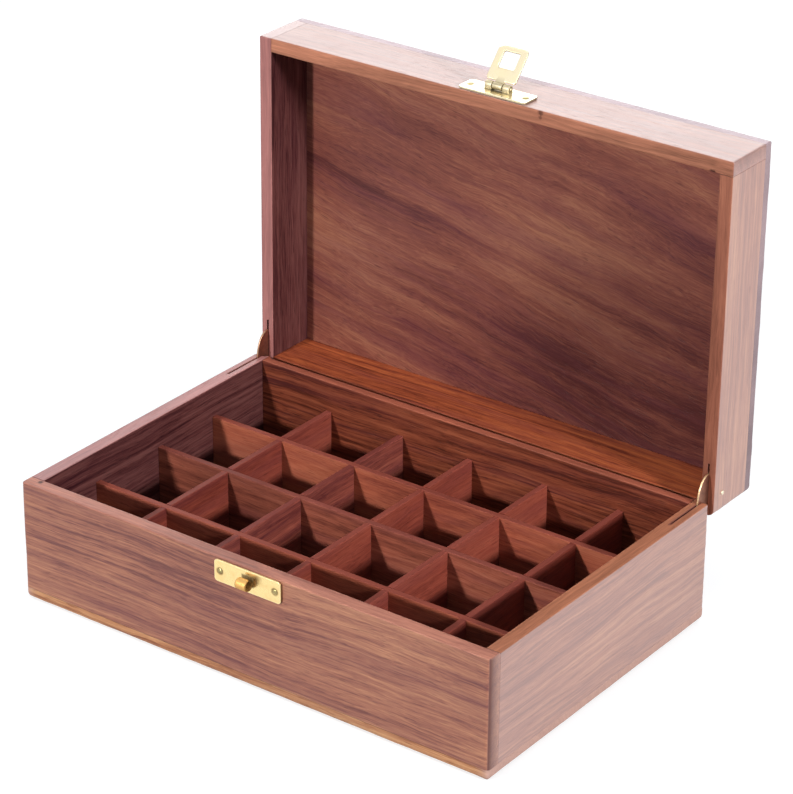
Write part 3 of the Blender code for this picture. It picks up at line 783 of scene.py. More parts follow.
def box_lattice(low: Array, high: Array, zone: float, spacing: float) -> tuple[Array, Array]:
    """The points and faces of a box's six sides, as grids that share their edges.

    Args:
        low: The lowest corner.
        high: The highest corner.
        zone: How wide the finer strips along the edges are.
        spacing: How far apart the lines are elsewhere.

    Returns:
        The points, and the faces as four point numbers each.
    """
    lines = [steps_between(low[axis], high[axis], zone, spacing) for axis in range(3)]
    counts = [len(line) for line in lines]
    keys = []
    faces = []
    for side in Side:
        axis, way = side.value
        first, second = (axis + 1) % 3, (axis + 2) % 3
        indices = np.zeros((counts[first], counts[second], 3), int)
        indices[..., first] = np.arange(counts[first])[:, None]
        indices[..., second] = np.arange(counts[second])[None, :]
        indices[..., axis] = 0 if way < 0 else counts[axis] - 1
        square = grid_faces(counts[first], counts[second], False, False)
        square = square + sum(len(part) for part in keys)
        keys.append(indices.reshape(-1, 3))
        faces.append(square if way < 0 else square[:, ::-1])
    rows, numbers = np.unique(np.vstack(keys), axis=0, return_inverse=True)
    points = np.column_stack([lines[axis][rows[:, axis]] for axis in range(3)])
    return points, numbers.reshape(-1)[np.vstack(faces)]


def nearest_edge(radii: dict[Edge, float], way: Array, first: int, second: int) -> Array:
    """The radius of the edge nearest to each point, of the four between two axes' faces."""
    found = np.zeros(len(way))
    for (one, two), radius in radii.items():
        if {one.value[0], two.value[0]} == {first, second}:
            on_one = way[:, one.value[0]] == one.value[1]
            on_two = way[:, two.value[0]] == two.value[1]
            found[on_one & on_two] = radius
    return found


def squares_to_circles(depth: Array) -> Array:
    """By what each pair of depths is multiplied, so that squares round a corner become circles."""
    both = depth.min(axis=1) > 0
    length = np.maximum(np.hypot(depth[:, 0], depth[:, 1]), 1e-12)
    return np.where(both, depth.max(axis=1) / length, 1.0)


def wear_and_highlight_near(first: Array, second: Array, radius: Array) -> Array:
    """How much wear and painted highlight points take by their gaps to an edge's two faces, none at
    a tight edge.
    """
    return np.exp(-((np.hypot(first, second) / WEAR_AND_HIGHLIGHT_WIDTH) ** 2)) * (radius > 2 * TIGHT_EDGE)


def eased_box(points: Array, low: Array, high: Array, radii: dict[Edge, float],
              seed: int) -> tuple[Array, Array]:
    """A plain box's points moved so that its edges are rounded, unevenly as by hand.

    The upright edges come first. A point with gaps g to two faces, both under the radius r, has
    its pair r - g made as long as its larger member. The edges round the top and the bottom
    follow in the same way, between the upright and the outline's normal, with a radius that
    turns smoothly from one side's to the next. The faces then sink a little, in long waves.

    Args:
        points: Points on the box.
        low: The lowest corner.
        high: The highest corner.
        radii: The radius of each of the twelve edges.
        seed: Which ripples to take.

    Returns:
        The moved points, and how much wear and painted highlight each one takes, from 0 to 1.
    """
    half = (high - low) / 2
    local = points - (low + high) / 2
    way = np.where(local < 0, -1.0, 1.0)
    gap = half - np.abs(local)
    uneven = ripples(points, LONG_WAVE, seed) + 0.5 * ripples(points, SHORT_WAVE, seed + 50)
    unevenly = np.clip(1 + 0.10 * uneven, 0.7, 1.3)
    most = 0.48 * (high - low).min()
    upright = np.minimum(nearest_edge(radii, way, 0, 1) * unevenly, most)
    depth = np.clip(upright[:, None] - gap[:, :2], 0, None)
    turned_in = depth * (1 - squares_to_circles(depth))[:, None]
    flat = half[:2] - gap[:, :2] - turned_in
    in_corner = depth.min(axis=1) > 0
    side_on = gap[:, 0] <= gap[:, 1]
    normal = np.column_stack([side_on, ~side_on]).astype(float)
    normal[in_corner] = depth[in_corner] / np.hypot(*depth[in_corner].T)[:, None]
    over_sides = normal[:, 0] ** 2 * nearest_edge(radii, way, 0, 2)
    over_front = normal[:, 1] ** 2 * nearest_edge(radii, way, 1, 2)
    ring = np.minimum((over_sides + over_front) * unevenly, most)
    within = gap[:, :2].min(axis=1)
    depth = np.clip(ring[:, None] - np.column_stack([within, gap[:, 2]]), 0, None)
    scale = squares_to_circles(depth)[:, None]
    sunk = WOBBLE * (1 + np.clip(ripples(points, SINK_WAVE, seed + 90), -1, 1))[:, None]
    moved_in = depth * (1 - scale) + sunk * depth * scale / ring[:, None]
    flat = flat - normal * moved_in[:, :1]
    height = half[2] - gap[:, 2] - moved_in[:, 1]
    moved = way * np.column_stack([flat, height])
    upright_wear_and_highlight = wear_and_highlight_near(gap[:, 0], gap[:, 1], upright)
    wear = np.maximum(upright_wear_and_highlight, wear_and_highlight_near(within, gap[:, 2], ring))
    return moved + (low + high) / 2, wear * np.clip(0.6 + 0.4 * uneven, 0, 1)


def side_marks(plain: Array, low: Array, high: Array, sides: tuple[Side, ...],
               reach: float) -> Array:
    """How much each point of a box belongs to some of its sides, from 0 to 1.

    Args:
        plain: The points before any edge is rounded.
        low: The lowest corner.
        high: The highest corner.
        sides: The sides to mark.
        reach: How far in from a side its mark fades away.

    Returns:
        One value for each point.
    """
    marked = np.zeros(len(plain))
    for side in sides:
        axis, way = side.value
        gap = way * ((low if way < 0 else high)[axis] - plain[:, axis])
        marked = np.maximum(marked, np.clip(1 - gap / reach, 0, 1))
    return marked


@dataclass
class Board:
    """A board of the box, worked out over the box of its CAD node.

    Its rounded edges have radii of their own. Its tight ones, and those of its glued sides,
    were sanded flush at a joint. The cut ends' colour fades out towards the side cut_fades.
    """

    node: str
    slot: str
    stance: Stance
    finish: WoodFinish
    grain: Grain
    seed: int
    rounded: dict[Edge, float] = field(default_factory=dict)
    glued: tuple[Side, ...] = ()
    tight: tuple[Edge, ...] = ()
    indoors: tuple[Side, ...] = ()
    cut_fades: Side | None = None
    rims: tuple[Side, ...] = ()
    spots: tuple[Spot, ...] = ()
    arris: float = ARRIS
    rim_reach: float = MARK_REACH
    cut_reach: float = 0.0008
    spacing: float = 0.0030

    def radius_of(self, edge: Edge) -> float:
        """How far an edge is rounded: hardly at all where it was sanded flush at a joint."""
        if edge in self.rounded:
            return self.rounded[edge]
        joined = edge in self.tight or any(side in self.glued for side in edge)
        return TIGHT_EDGE if joined else self.arris

    def build(self) -> bpy.types.Object:
        """Work the board out and dress it, before any cuts."""
        low, high = closed_box(self.node, self.stance)
        for side in self.glued:
            axis, way = side.value
            (low if way < 0 else high)[axis] += way * GLUE_REACH
        radii = {edge: self.radius_of(edge) for edge in ALL_EDGES}
        plain, faces = box_lattice(low, high, EDGE_ZONE, self.spacing)
        points, wear = eased_box(plain, low, high, radii, self.seed)
        name = f"{self.node}_wood"
        marks = self.marks(plain, low, high)
        points = self.stance.to_rest(points)
        piece = new_mesh_piece(name, points, faces.tolist(), wear=wear, **marks)
        outward(piece)
        middle = (low + high) / 2
        self.finish.dress(piece, self.grain, self.stance, middle, self.seed, self.spots)
        return piece

    def marks(self, plain: Array, low: Array, high: Array) -> dict[str, Array]:
        """Where the points of its plain box lie: inside, on a rim, outside or at a sawn end."""
        ends = tuple(side for side in Side if self.grain.value[0][side.value[0]] == 1)
        inside = side_marks(plain, low, high, self.indoors, MARK_REACH)
        rim = side_marks(plain, low, high, self.rims, self.rim_reach)
        sawn = side_marks(plain, low, high, ends, self.cut_reach)
        fading = (self.cut_fades,) if self.cut_fades else ()
        thickness = (high - low)[Side.FRONT.value[0]]
        return {
            "inside": inside,
            "rim": rim,
            "outside": 1 - np.maximum(inside, rim),
            "cut": sawn * (1 - side_marks(plain, low, high, fading, thickness)),
            "sawn": sawn,
        }

    def finished(self, cutters: Iterable[bpy.types.Object] = ()) -> None:
        """Build the board, cut it with the cutters and let it stand for its node."""
        piece = self.build()
        for cutter in cutters:
            carve(piece, cutter)
        settle(piece, self.node, self.stance.body)


@dataclass(frozen=True)
class SawKerf:
    """A saw cut down into a rim at the back, which a hinge plate stands in.

    Its floor is flat from the back, and then follows the round blade out to the rim.
    """

    width: float = 0.0010
    blade_radius: float = 0.025
    overrun: float = 0.002

    def cutter(self, back: float, rim: float, rise: int, reach: float, depth: float,
               middle_x: float, stance: Stance) -> bpy.types.Object:
        """The shape to cut away.

        Args:
            back: The y of the back face.
            rim: The z of the rim.
            rise: -1 where the cut goes down from the rim, and 1 where it goes up.
            reach: How far forward the cut opens the rim.
            depth: How deep its flat floor is.
            middle_x: The x of its middle plane.
            stance: How the wall's body stands.

        Returns:
            The cutter.
        """
        lift = self.blade_radius - depth
        flat_end = reach - math.sqrt(self.blade_radius**2 - lift**2)
        sweep = np.linspace(0, math.acos((lift - self.overrun) / self.blade_radius), 25)
        away = flat_end + self.blade_radius * np.sin(sweep)
        deep = self.blade_radius * np.cos(sweep) - lift
        floor = np.column_stack([back - away, rim + rise * deep])
        behind = back + self.overrun
        ends = [[behind, rim - rise * self.overrun], [behind, rim + rise * depth]]
        outline = np.vstack([ends, floor])
        half = self.width / 2
        start, end = middle_x - half, middle_x + half
        return prism("kerf_cutter", outline, start, end, stance.matrix())


@dataclass
class Base:
    """The base: bottom board, four walls and eight half-lapped dividers."""

    stance: Stance
    kerf: SawKerf = SawKerf()
    kerf_reach: float = 0.026
    kerf_depth: float = 0.0082
    slot_clearance: float = 0.00009
    slot_overrun: float = 0.001
    divider_arris: float = 0.00035
    front_round: float = 0.0018
    back_round: float = EDGE_ROUND
    foot_round: float = 0.0024
    golden_reach: float = 0.0045
    chip_inset: tuple[float, float] = (0.0066, 0.0019)
    chip_radius: float = 0.0015
    stained_divider: str = "long_divider_2"
    stain_inset: float = 0.040
    dark_spot_radius: float = 0.045

    def build(self) -> None:
        """Build every wooden piece of the base."""
        self.build_bottom_board()
        self.build_front_wall()
        self.build_back_wall()
        self.build_side_walls()
        self.build_dividers()

    def build_bottom_board(self) -> None:
        """The board that covers the underside, with its golden edge."""
        corners = corner_rounds(self.front_round, self.back_round)
        rounded = {**corners, **dict.fromkeys(LOW_EDGES, self.foot_round)}
        Board(
            "bottom_board", "bottom_wood", self.stance, GOLDEN_WOOD, Grain.FLAT_BOARD, 11, rounded,
            tight=HIGH_EDGES, indoors=(Side.TOP,), rims=(Side.LEFT, Side.RIGHT, Side.BACK),
            rim_reach=self.golden_reach,
        ).finished()

    def build_front_wall(self) -> None:
        """The front wall, across the whole width, with a chip in its rim on the left."""
        low, high = closed_box("front_wall", self.stance)
        from_end, from_back = self.chip_inset
        chip = Spot((low[0] + from_end, high[1] - from_back, high[2]), self.chip_radius)
        Board(
            "front_wall", "outer_wood", self.stance, FRONT_WOOD, Grain.WIDE_WALL, 12,
            rounded=dict.fromkeys(FRONT_CORNERS, self.front_round), glued=(Side.BOTTOM,),
            tight=ENDS_BEHIND, indoors=(Side.BACK,), cut_fades=Side.BACK, rims=(Side.TOP,),
            spots=(chip,),
        ).finished()

    def build_back_wall(self) -> None:
        """The back wall, between the side walls."""
        Board(
            "back_wall", "inner_wood", self.stance, BROWN_WOOD, Grain.WIDE_WALL, 13,
            rounded={(Side.BACK, Side.TOP): EDGE_ROUND},
            glued=(Side.BOTTOM, Side.LEFT, Side.RIGHT), indoors=(Side.FRONT,), rims=(Side.TOP,),
        ).finished()

    def build_side_walls(self) -> None:
        """The two side walls, with the hinge plates' kerfs."""
        for name, side, finish, seed in (
            ("left", Side.LEFT, PURPLE_WOOD, 14),
            ("right", Side.RIGHT, PINK_WOOD, 15),
        ):
            board = Board(
                f"{name}_wall", "outer_wood", self.stance, finish, Grain.DEEP_WALL, seed,
                rounded={(side, Side.BACK): self.back_round, (Side.BACK, Side.TOP): EDGE_ROUND},
                glued=(Side.BOTTOM, Side.FRONT), indoors=(side.opposite,), rims=(Side.TOP,),
                cut_reach=HIDDEN_END_REACH,
            )
            low, high = closed_box(board.node, self.stance)
            middle_x = (low[0] + high[0]) / 2
            cutter = self.kerf.cutter(
                high[1], high[2], -1, self.kerf_reach, self.kerf_depth, middle_x, self.stance,
            )
            board.finished([cutter])

    def build_dividers(self) -> None:
        """Three long dividers slotted from below, and five cross dividers slotted from above."""
        long_nodes = [f"long_divider_{number}" for number in (1, 2, 3)]
        cross_nodes = [f"cross_divider_{number}" for number in (1, 2, 3, 4, 5)]
        woods = (RED_WOOD, RUSSET_WOOD, RED_WOOD)
        for number, (node, finish) in enumerate(zip(long_nodes, woods)):
            self.build_divider(node, finish, Grain.WIDE_WALL, 21 + number, cross_nodes, Side.BOTTOM)
        woods = (CRIMSON_WOOD, DUSKY_WOOD, CRIMSON_WOOD, CRIMSON_WOOD, CRIMSON_WOOD)
        for number, (node, finish) in enumerate(zip(cross_nodes, woods)):
            self.build_divider(node, finish, Grain.DEEP_WALL, 31 + number, long_nodes, Side.TOP)

    def build_divider(self, node: str, finish: WoodFinish, grain: Grain, seed: int,
                      others: list[str], open_side: Side) -> None:
        """A divider with a slot for each divider that crosses it.

        Args:
            node: The divider's CAD node.
            finish: Its wood.
            grain: How its plank was cut.
            seed: Its place in the pattern.
            others: The nodes of the dividers that cross it.
            open_side: The side that its slots are cut in from.
        """
        is_long = grain is Grain.WIDE_WALL
        ends = (Side.LEFT, Side.RIGHT) if is_long else (Side.FRONT, Side.BACK)
        low, high = closed_box(node, self.stance)
        dark_spot_place = (low[0] + self.stain_inset, low[1], high[2])
        stain = Spot(dark_spot_place, self.dark_spot_radius, share=0.30, ragged=0.4)
        board = Board(
            node, "divider_wood", self.stance, finish, grain, seed, glued=(*ends, Side.BOTTOM),
            rims=(Side.TOP,), spots=(stain,) if node == self.stained_divider else (),
            arris=self.divider_arris, spacing=0.0025,
        )
        through = 1 if is_long else 0
        board.finished(self.slot_cutter(low, high, other, through, open_side) for other in others)

    def slot_cutter(self, low: Array, high: Array, other: str, through: int,
                    open_side: Side) -> bpy.types.Object:
        """What one crossing divider takes out of a divider, from one side to half its height.

        Args:
            low: The divider's lowest corner.
            high: Its highest corner.
            other: The crossing divider's CAD node.
            through: The axis that the slot runs through the divider along.
            open_side: The side that it is cut in from.

        Returns:
            The cutter, which overruns the divider's faces.
        """
        other_low, other_high = closed_box(other, self.stance)
        slot_low = np.maximum(low, other_low) - self.slot_clearance
        slot_high = np.minimum(high, other_high) + self.slot_clearance
        slot_low[through] -= self.slot_overrun
        slot_high[through] += self.slot_overrun
        middle_z = (low[2] + high[2]) / 2
        if open_side is Side.TOP:
            slot_low[2] = middle_z - self.slot_clearance
            slot_high[2] += self.slot_overrun
        else:
            slot_low[2] -= self.slot_overrun
            slot_high[2] = middle_z + self.slot_clearance
        (near, foot), (far, top) = slot_low[1:], slot_high[1:]
        outline = np.array([[near, foot], [far, foot], [far, top], [near, top]])
        return prism("slot_cutter", outline, slot_low[0], slot_high[0], Matrix.Identity(4))


@dataclass
class Lid:
    """The lid's five boards."""

    stance: Stance
    kerf: SawKerf = SawKerf()
    kerf_reach: float = 0.0241
    kerf_depth: float = 0.011
    front_round: float = 0.0009
    back_round: float = 0.0032
    # Where the painted shadow lies on the top board's inner face, and how wide it is
    dark_spot_place: tuple[float, float] = (0.070, 0.045)
    dark_spot_radius: float = 0.085
    hasp_chips_x: float = 0.0275

    def build(self) -> None:
        """Build every wooden piece of the lid."""
        self.build_top_board()
        self.build_front_wall()
        self.build_back_wall()
        self.build_side_walls()

    def build_top_board(self) -> None:
        """The board that closes the lid, with a wide soft painted shadow inside towards its lower
        right at rest.
        """
        corners = corner_rounds(self.front_round, self.back_round)
        rounded = {**corners, **dict.fromkeys(HIGH_EDGES, EDGE_ROUND)}
        low, _ = closed_box("top_board", self.stance)
        Board(
            "top_board", "inner_wood", self.stance, PANEL_WOOD, Grain.FLAT_BOARD, 41, rounded,
            tight=LOW_EDGES, indoors=(Side.BOTTOM,), rims=(Side.RIGHT, Side.FRONT),
            spots=(Spot((*self.dark_spot_place, low[2]), self.dark_spot_radius, share=0.26, ragged=0.3),),
        ).finished()

    def build_front_wall(self) -> None:
        """The lid's front wall, with chips on its rim at the right end and by the hasp."""
        low, high = closed_box("lid_front_wall", self.stance)
        chips = (
            Spot((high[0] - 0.0102, high[1], low[2]), 0.0012),
            Spot((high[0] - 0.0090, high[1], low[2]), 0.0013),
            Spot((self.hasp_chips_x, low[1] + 0.0010, low[2]), 0.0016, 0.7),
            Spot((self.hasp_chips_x, low[1] + 0.0030, low[2]), 0.0011, 0.5),
        )
        Board(
            "lid_front_wall", "outer_wood", self.stance, ROSE_WOOD, Grain.WIDE_WALL, 42,
            rounded={(Side.RIGHT, Side.FRONT): self.front_round}, glued=(Side.TOP, Side.LEFT),
            tight=ENDS_BEHIND, indoors=(Side.BACK,), cut_fades=Side.BACK, rims=(Side.BOTTOM,),
            spots=chips,
        ).finished()

    def build_back_wall(self) -> None:
        """The lid's back wall, between its side walls."""
        Board(
            "lid_back_wall", "inner_wood", self.stance, ORANGE_WOOD, Grain.WIDE_WALL, 43,
            glued=(Side.TOP, Side.LEFT, Side.RIGHT), indoors=(Side.FRONT,), rims=(Side.BOTTOM,),
        ).finished()

    def build_side_walls(self) -> None:
        """The lid's two side walls, with the hinge plates' kerfs.

        The right one is glued to the back of the front wall. The left one runs over its end.
        """
        plate_low, plate_high = closed_box("hinge_plate_right", self.stance)
        middle_x = (plate_low[0] + plate_high[0]) / 2
        left_rounds = {(Side.LEFT, Side.FRONT): self.front_round}
        over_end = ((Side.RIGHT, Side.FRONT),)
        for name, side, finish, seed, rounds, glued, tight in (
            ("left", Side.LEFT, PLUM_WOOD, 44, left_rounds, (Side.TOP,), over_end),
            ("right", Side.RIGHT, BLUSH_WOOD, 45, {}, (Side.TOP, Side.FRONT), ()),
        ):
            board = Board(
                f"lid_{name}_wall", "outer_wood", self.stance, finish, Grain.DEEP_WALL, seed,
                {(side, Side.BACK): self.back_round, **rounds}, glued, tight, (side.opposite,),
                rims=(Side.BOTTOM,), cut_reach=HIDDEN_END_REACH,
            )
            low, high = closed_box(board.node, self.stance)
            cutter = self.kerf.cutter(
                high[1], low[2], 1, self.kerf_reach, self.kerf_depth, side.value[1] * middle_x,
                self.stance,
            )
            board.finished([cutter])


# Metal

# A metal's scratches, and how far they and its grit raise the surface
SCRATCHES = Figure(0.10, 4200.0)
METAL_RELIEF = 0.000008


@dataclass(frozen=True)
class MetalFinish:
    """A rubbed metal: its colour, its bright edges, its tarnish colour, its painted shade colour
    and how matt it is.
    """

    name: str
    colour: Colour
    edge: Colour
    # The tarnish colour, which on the curl also serves as painted shade
    tarnish: Colour
    roughness: float
    tarnish_share: float
    # The colour of painted shade
    grime: Colour = display(74, 40, 12)

    def material(self) -> bpy.types.Material:
        """The metal as a material, with scratches, dull clouds, painted shade and bright edges."""
        shade = Shade(f"{self.name}_metal")
        place = shade.add("TexCoord").outputs["Object"]
        clouds = shade.noise(place, 300.0, 3.0)
        scratches = shade.drawn_out(place, SCRATCHES)
        grit = shade.noise(place, 2400.0, 2.0)
        dull = shade.spread(clouds, 0.45, 0.75, 0.0, self.tarnish_share)
        # The curl's mark darkens it towards the tarnish colour: painted shade
        tarnished_and_shaded = shade.mark("tarnish")
        colour = shade.mix(shade.math("MAXIMUM", dull, tarnished_and_shaded), self.colour, self.tarnish)
        # Edges brighten with wear and a painted highlight
        colour = shade.cover(colour, shade.mark("wear"), 0.8, self.edge)
        # Painted shade in creases, under parts and along edges, made gritty
        gritty = shade.spread(grit, 0.2, 0.8, 0.75, 1.0)
        grime = shade.math("MULTIPLY", shade.mark("grime"), gritty)
        colour = shade.mix(grime, colour, self.grime)
        rough = shade.spread(clouds, 0.3, 0.7, self.roughness - 0.05, self.roughness + 0.08)
        matt = shade.math("MULTIPLY", shade.math("ADD", grime, tarnished_and_shaded), 0.3)
        rough = shade.math("ADD", rough, matt)
        shade.bump(shade.math("ADD", scratches, shade.math("MULTIPLY", grit, 0.5)), METAL_RELIEF)
        return shade.finish(Base_Color=colour, Metallic=1.0, Roughness=rough)


BRASS = MetalFinish(
    "brass", display(247, 218, 154), display(255, 238, 196), display(206, 148, 72),
    roughness=0.27, tarnish_share=0.24,
)
# A paler copy of the brass for the hasp's pieces on the lid, standing in for the bright reflection
# that they catch: painted reflection
PAINTED_LIT_BRASS = MetalFinish(
    "pale_brass", display(247, 233, 198), display(253, 246, 226), display(228, 208, 160),
    roughness=0.30, tarnish_share=0.45, grime=display(88, 76, 46),
)
NAIL_METAL = MetalFinish(
    "nail", display(176, 160, 112), display(214, 204, 170), display(96, 82, 54),
    roughness=0.34, tarnish_share=0.7,
)
HINGE_NAIL_METAL = MetalFinish(
    "hinge_nail", display(236, 224, 200), display(250, 244, 230), display(190, 170, 130),
    roughness=0.34, tarnish_share=0.4,
)
# Its pale edge colour is wear and a painted highlight on the plates' curved edges, which face the
# light
HINGE_METAL = MetalFinish(
    "hinge", display(160, 116, 98), display(224, 194, 150), display(92, 64, 58),
    roughness=0.45, tarnish_share=0.6,
)


@dataclass
class Shell:
    """A closed surface, with each point's wear, painted highlight and painted shade, and a tarnish
    share.
    """

    points: Array
    faces: list
    wear: Array
    grime: Array
    tarnish: float = 0.0

    @classmethod
    def from_rings(cls, rings: Array, wear: Array, grime: Array,
                   ring_closed: bool = False) -> "Shell":
        """A shell from rings of points, with its ends closed by fans unless the rings close up.

        Args:
            rings: The points, ring by ring.
            wear: Wear and painted highlight, one value for each ring point.
            grime: Painted shade, one value for each ring point.
            ring_closed: Whether the last ring joins the first.

        Returns:
            The shell.
        """
        rows, columns = rings.shape[:2]
        points = rings.reshape(-1, 3)
        faces = grid_faces(rows, columns, ring_closed, True).tolist()
        wear, grime = wear.reshape(-1), grime.reshape(-1)
        if not ring_closed:
            around = np.arange(columns)
            after = (around + 1) % columns
            last = (rows - 1) * columns
            hubs = rows * columns + np.array([0, 1])
            for one, other, hub in (
                (after, around, hubs[0]),
                (around + last, after + last, hubs[1]),
            ):
                faces += np.column_stack([one, other, np.full(columns, hub)]).tolist()
            points = np.vstack([points, rings[[0, -1]].mean(axis=1)])
            wear = np.append(wear, [0.0, 0.0])
            grime = np.append(grime, [grime[0], grime[-1]])
        return cls(points, faces, wear, grime)

    def build(self, name: str, stance: Stance, finish: bpy.types.Material) -> bpy.types.Object:
        """The shell as a piece, turned from closed to rest and dressed."""
        piece = new_mesh_piece(
            name, stance.to_rest(self.points), self.faces, wear=self.wear, grime=self.grime,
            tarnish=np.full(len(self.points), self.tarnish),
        )
        outward(piece)
        piece.data.set_sharp_from_angle(angle=math.radians(60))
        piece.data.materials.append(finish)
        return piece


def turned(profile: Array, sides: int = 28) -> Shell:
    """A profile of (radius, height) pairs turned about the z axis.

    The point at turn a and profile place (r, h) is (r cos a, r sin a, h).
    """
    turn = np.linspace(0, math.tau, sides, endpoint=False)
    radius, height = profile[:, :1], profile[:, 1:]
    rings = np.stack([radius * np.cos(turn), radius * np.sin(turn), height + 0 * turn], axis=-1)
    steep = np.clip(np.abs(np.gradient(profile[:, 0])) / 1e-4, 0, 1)[:, None] * np.ones(sides)
    return Shell.from_rings(rings, 0.3 * (1 - steep), np.zeros((len(profile), sides)))


def thick_outline(outline: Array, start: float, end: float, edge: float) -> Shell:
    """A flat outline in (y, z), given a thickness from one x to another, with rounded edges.

    Each ring is the outline drawn in along its own normals: by e (1 - sin a) at a depth of
    e (1 - cos a) under each flat end, where e is the edge's radius.
    """
    tangent = np.roll(outline, -1, axis=0) - np.roll(outline, 1, axis=0)
    tangent /= np.linalg.norm(tangent, axis=1)[:, None]
    inwards = np.column_stack([-tangent[:, 1], tangent[:, 0]])
    after = np.roll(outline, -1, axis=0)
    area = np.sum(outline[:, 0] * after[:, 1] - after[:, 0] * outline[:, 1])
    inwards *= np.sign(area)
    bend = np.linspace(0, math.pi / 2, 5)
    inset = edge * (1 - np.sin(bend))
    depth = edge * (1 - np.cos(bend))
    insets = np.concatenate([[4 * edge], inset, inset[::-1], [4 * edge]])
    places = np.concatenate([[start], start + depth, (end - depth)[::-1], [end]])
    rings = [
        np.column_stack([np.full(len(outline), place), outline + inwards * step])
        for place, step in zip(places, insets)
    ]
    # Its rounded edges take wear and a painted highlight
    wear = np.repeat((insets < edge).astype(float)[:, None], len(outline), axis=1)
    return Shell.from_rings(np.array(rings), wear, 0 * wear)


def blunted(values: Array, power: float) -> Array:
    """Values from -1 to 1 raised to a power with their signs kept: under 1 it fills corners out."""
    return np.sign(values) * np.abs(values) ** power


def dome(radius: float, rise: float, foot: float, count: int) -> Array:
    """A dome's side as (radius, height) pairs, from its foot to just under its top."""
    bend = np.linspace(0, math.pi / 2, count)
    return np.column_stack([radius * np.cos(bend), foot + rise * np.sin(bend)])[:-1]


def arc_points(centre: tuple[float, float], radius: float, start: float, end: float,
               count: int) -> Array:
    """Points along an arc, both ends included."""
    turn = np.linspace(start, end, count)
    return np.column_stack([centre[0] + radius * np.cos(turn), centre[1] + radius * np.sin(turn)])


# Points in each corner, each long side and each short side of a clasp plate's outline
OUTLINE_COUNTS = (9, 64, 16)


def framed_outline(half: tuple[float, float], radius: float, inset: float) -> Array:
    """A rounded rectangle's outline drawn in by an inset, always with the same number of points."""
    keep = max(radius - inset, 0.0)
    centre = np.array(half) - max(radius, inset)
    corners = []
    for quarter, signs in enumerate(((1, 1), (-1, 1), (-1, -1), (1, -1))):
        start = quarter * math.pi / 2
        end = start + math.pi / 2
        corners.append(arc_points(tuple(centre * signs), keep, start, end, OUTLINE_COUNTS[0]))
    parts = []
    for number, corner in enumerate(corners):
        after = corners[(number + 1) % 4][0]
        count = OUTLINE_COUNTS[1 + number % 2]
        parts += [corner, np.linspace(corner[-1], after, count + 2)[1:-1]]
    return np.vstack(parts)


@dataclass(frozen=True)
class Nail:
    """A nail with a pointed shank under a flat domed head. Its dome's foot is at height 0."""

    head_radius: float
    dome_rise: float
    head_rim: float
    neck: float
    dome_steps: int
    shank_radius: float = 0.0006
    tip_radius: float = 0.0002
    top_radius: float = 0.0001
    point: float = 0.0012

    def shell(self, length: float) -> Shell:
        """The nail turned about the z axis, with its tip this far down."""
        shank = [
            [self.tip_radius, -length],
            [self.shank_radius, self.point - length],
            [self.shank_radius, -self.neck],
            [self.head_radius, -self.head_rim],
        ]
        head = dome(self.head_radius, self.dome_rise, 0.0, self.dome_steps)
        return turned(np.vstack([shank, head, [[self.top_radius, self.dome_rise]]]))


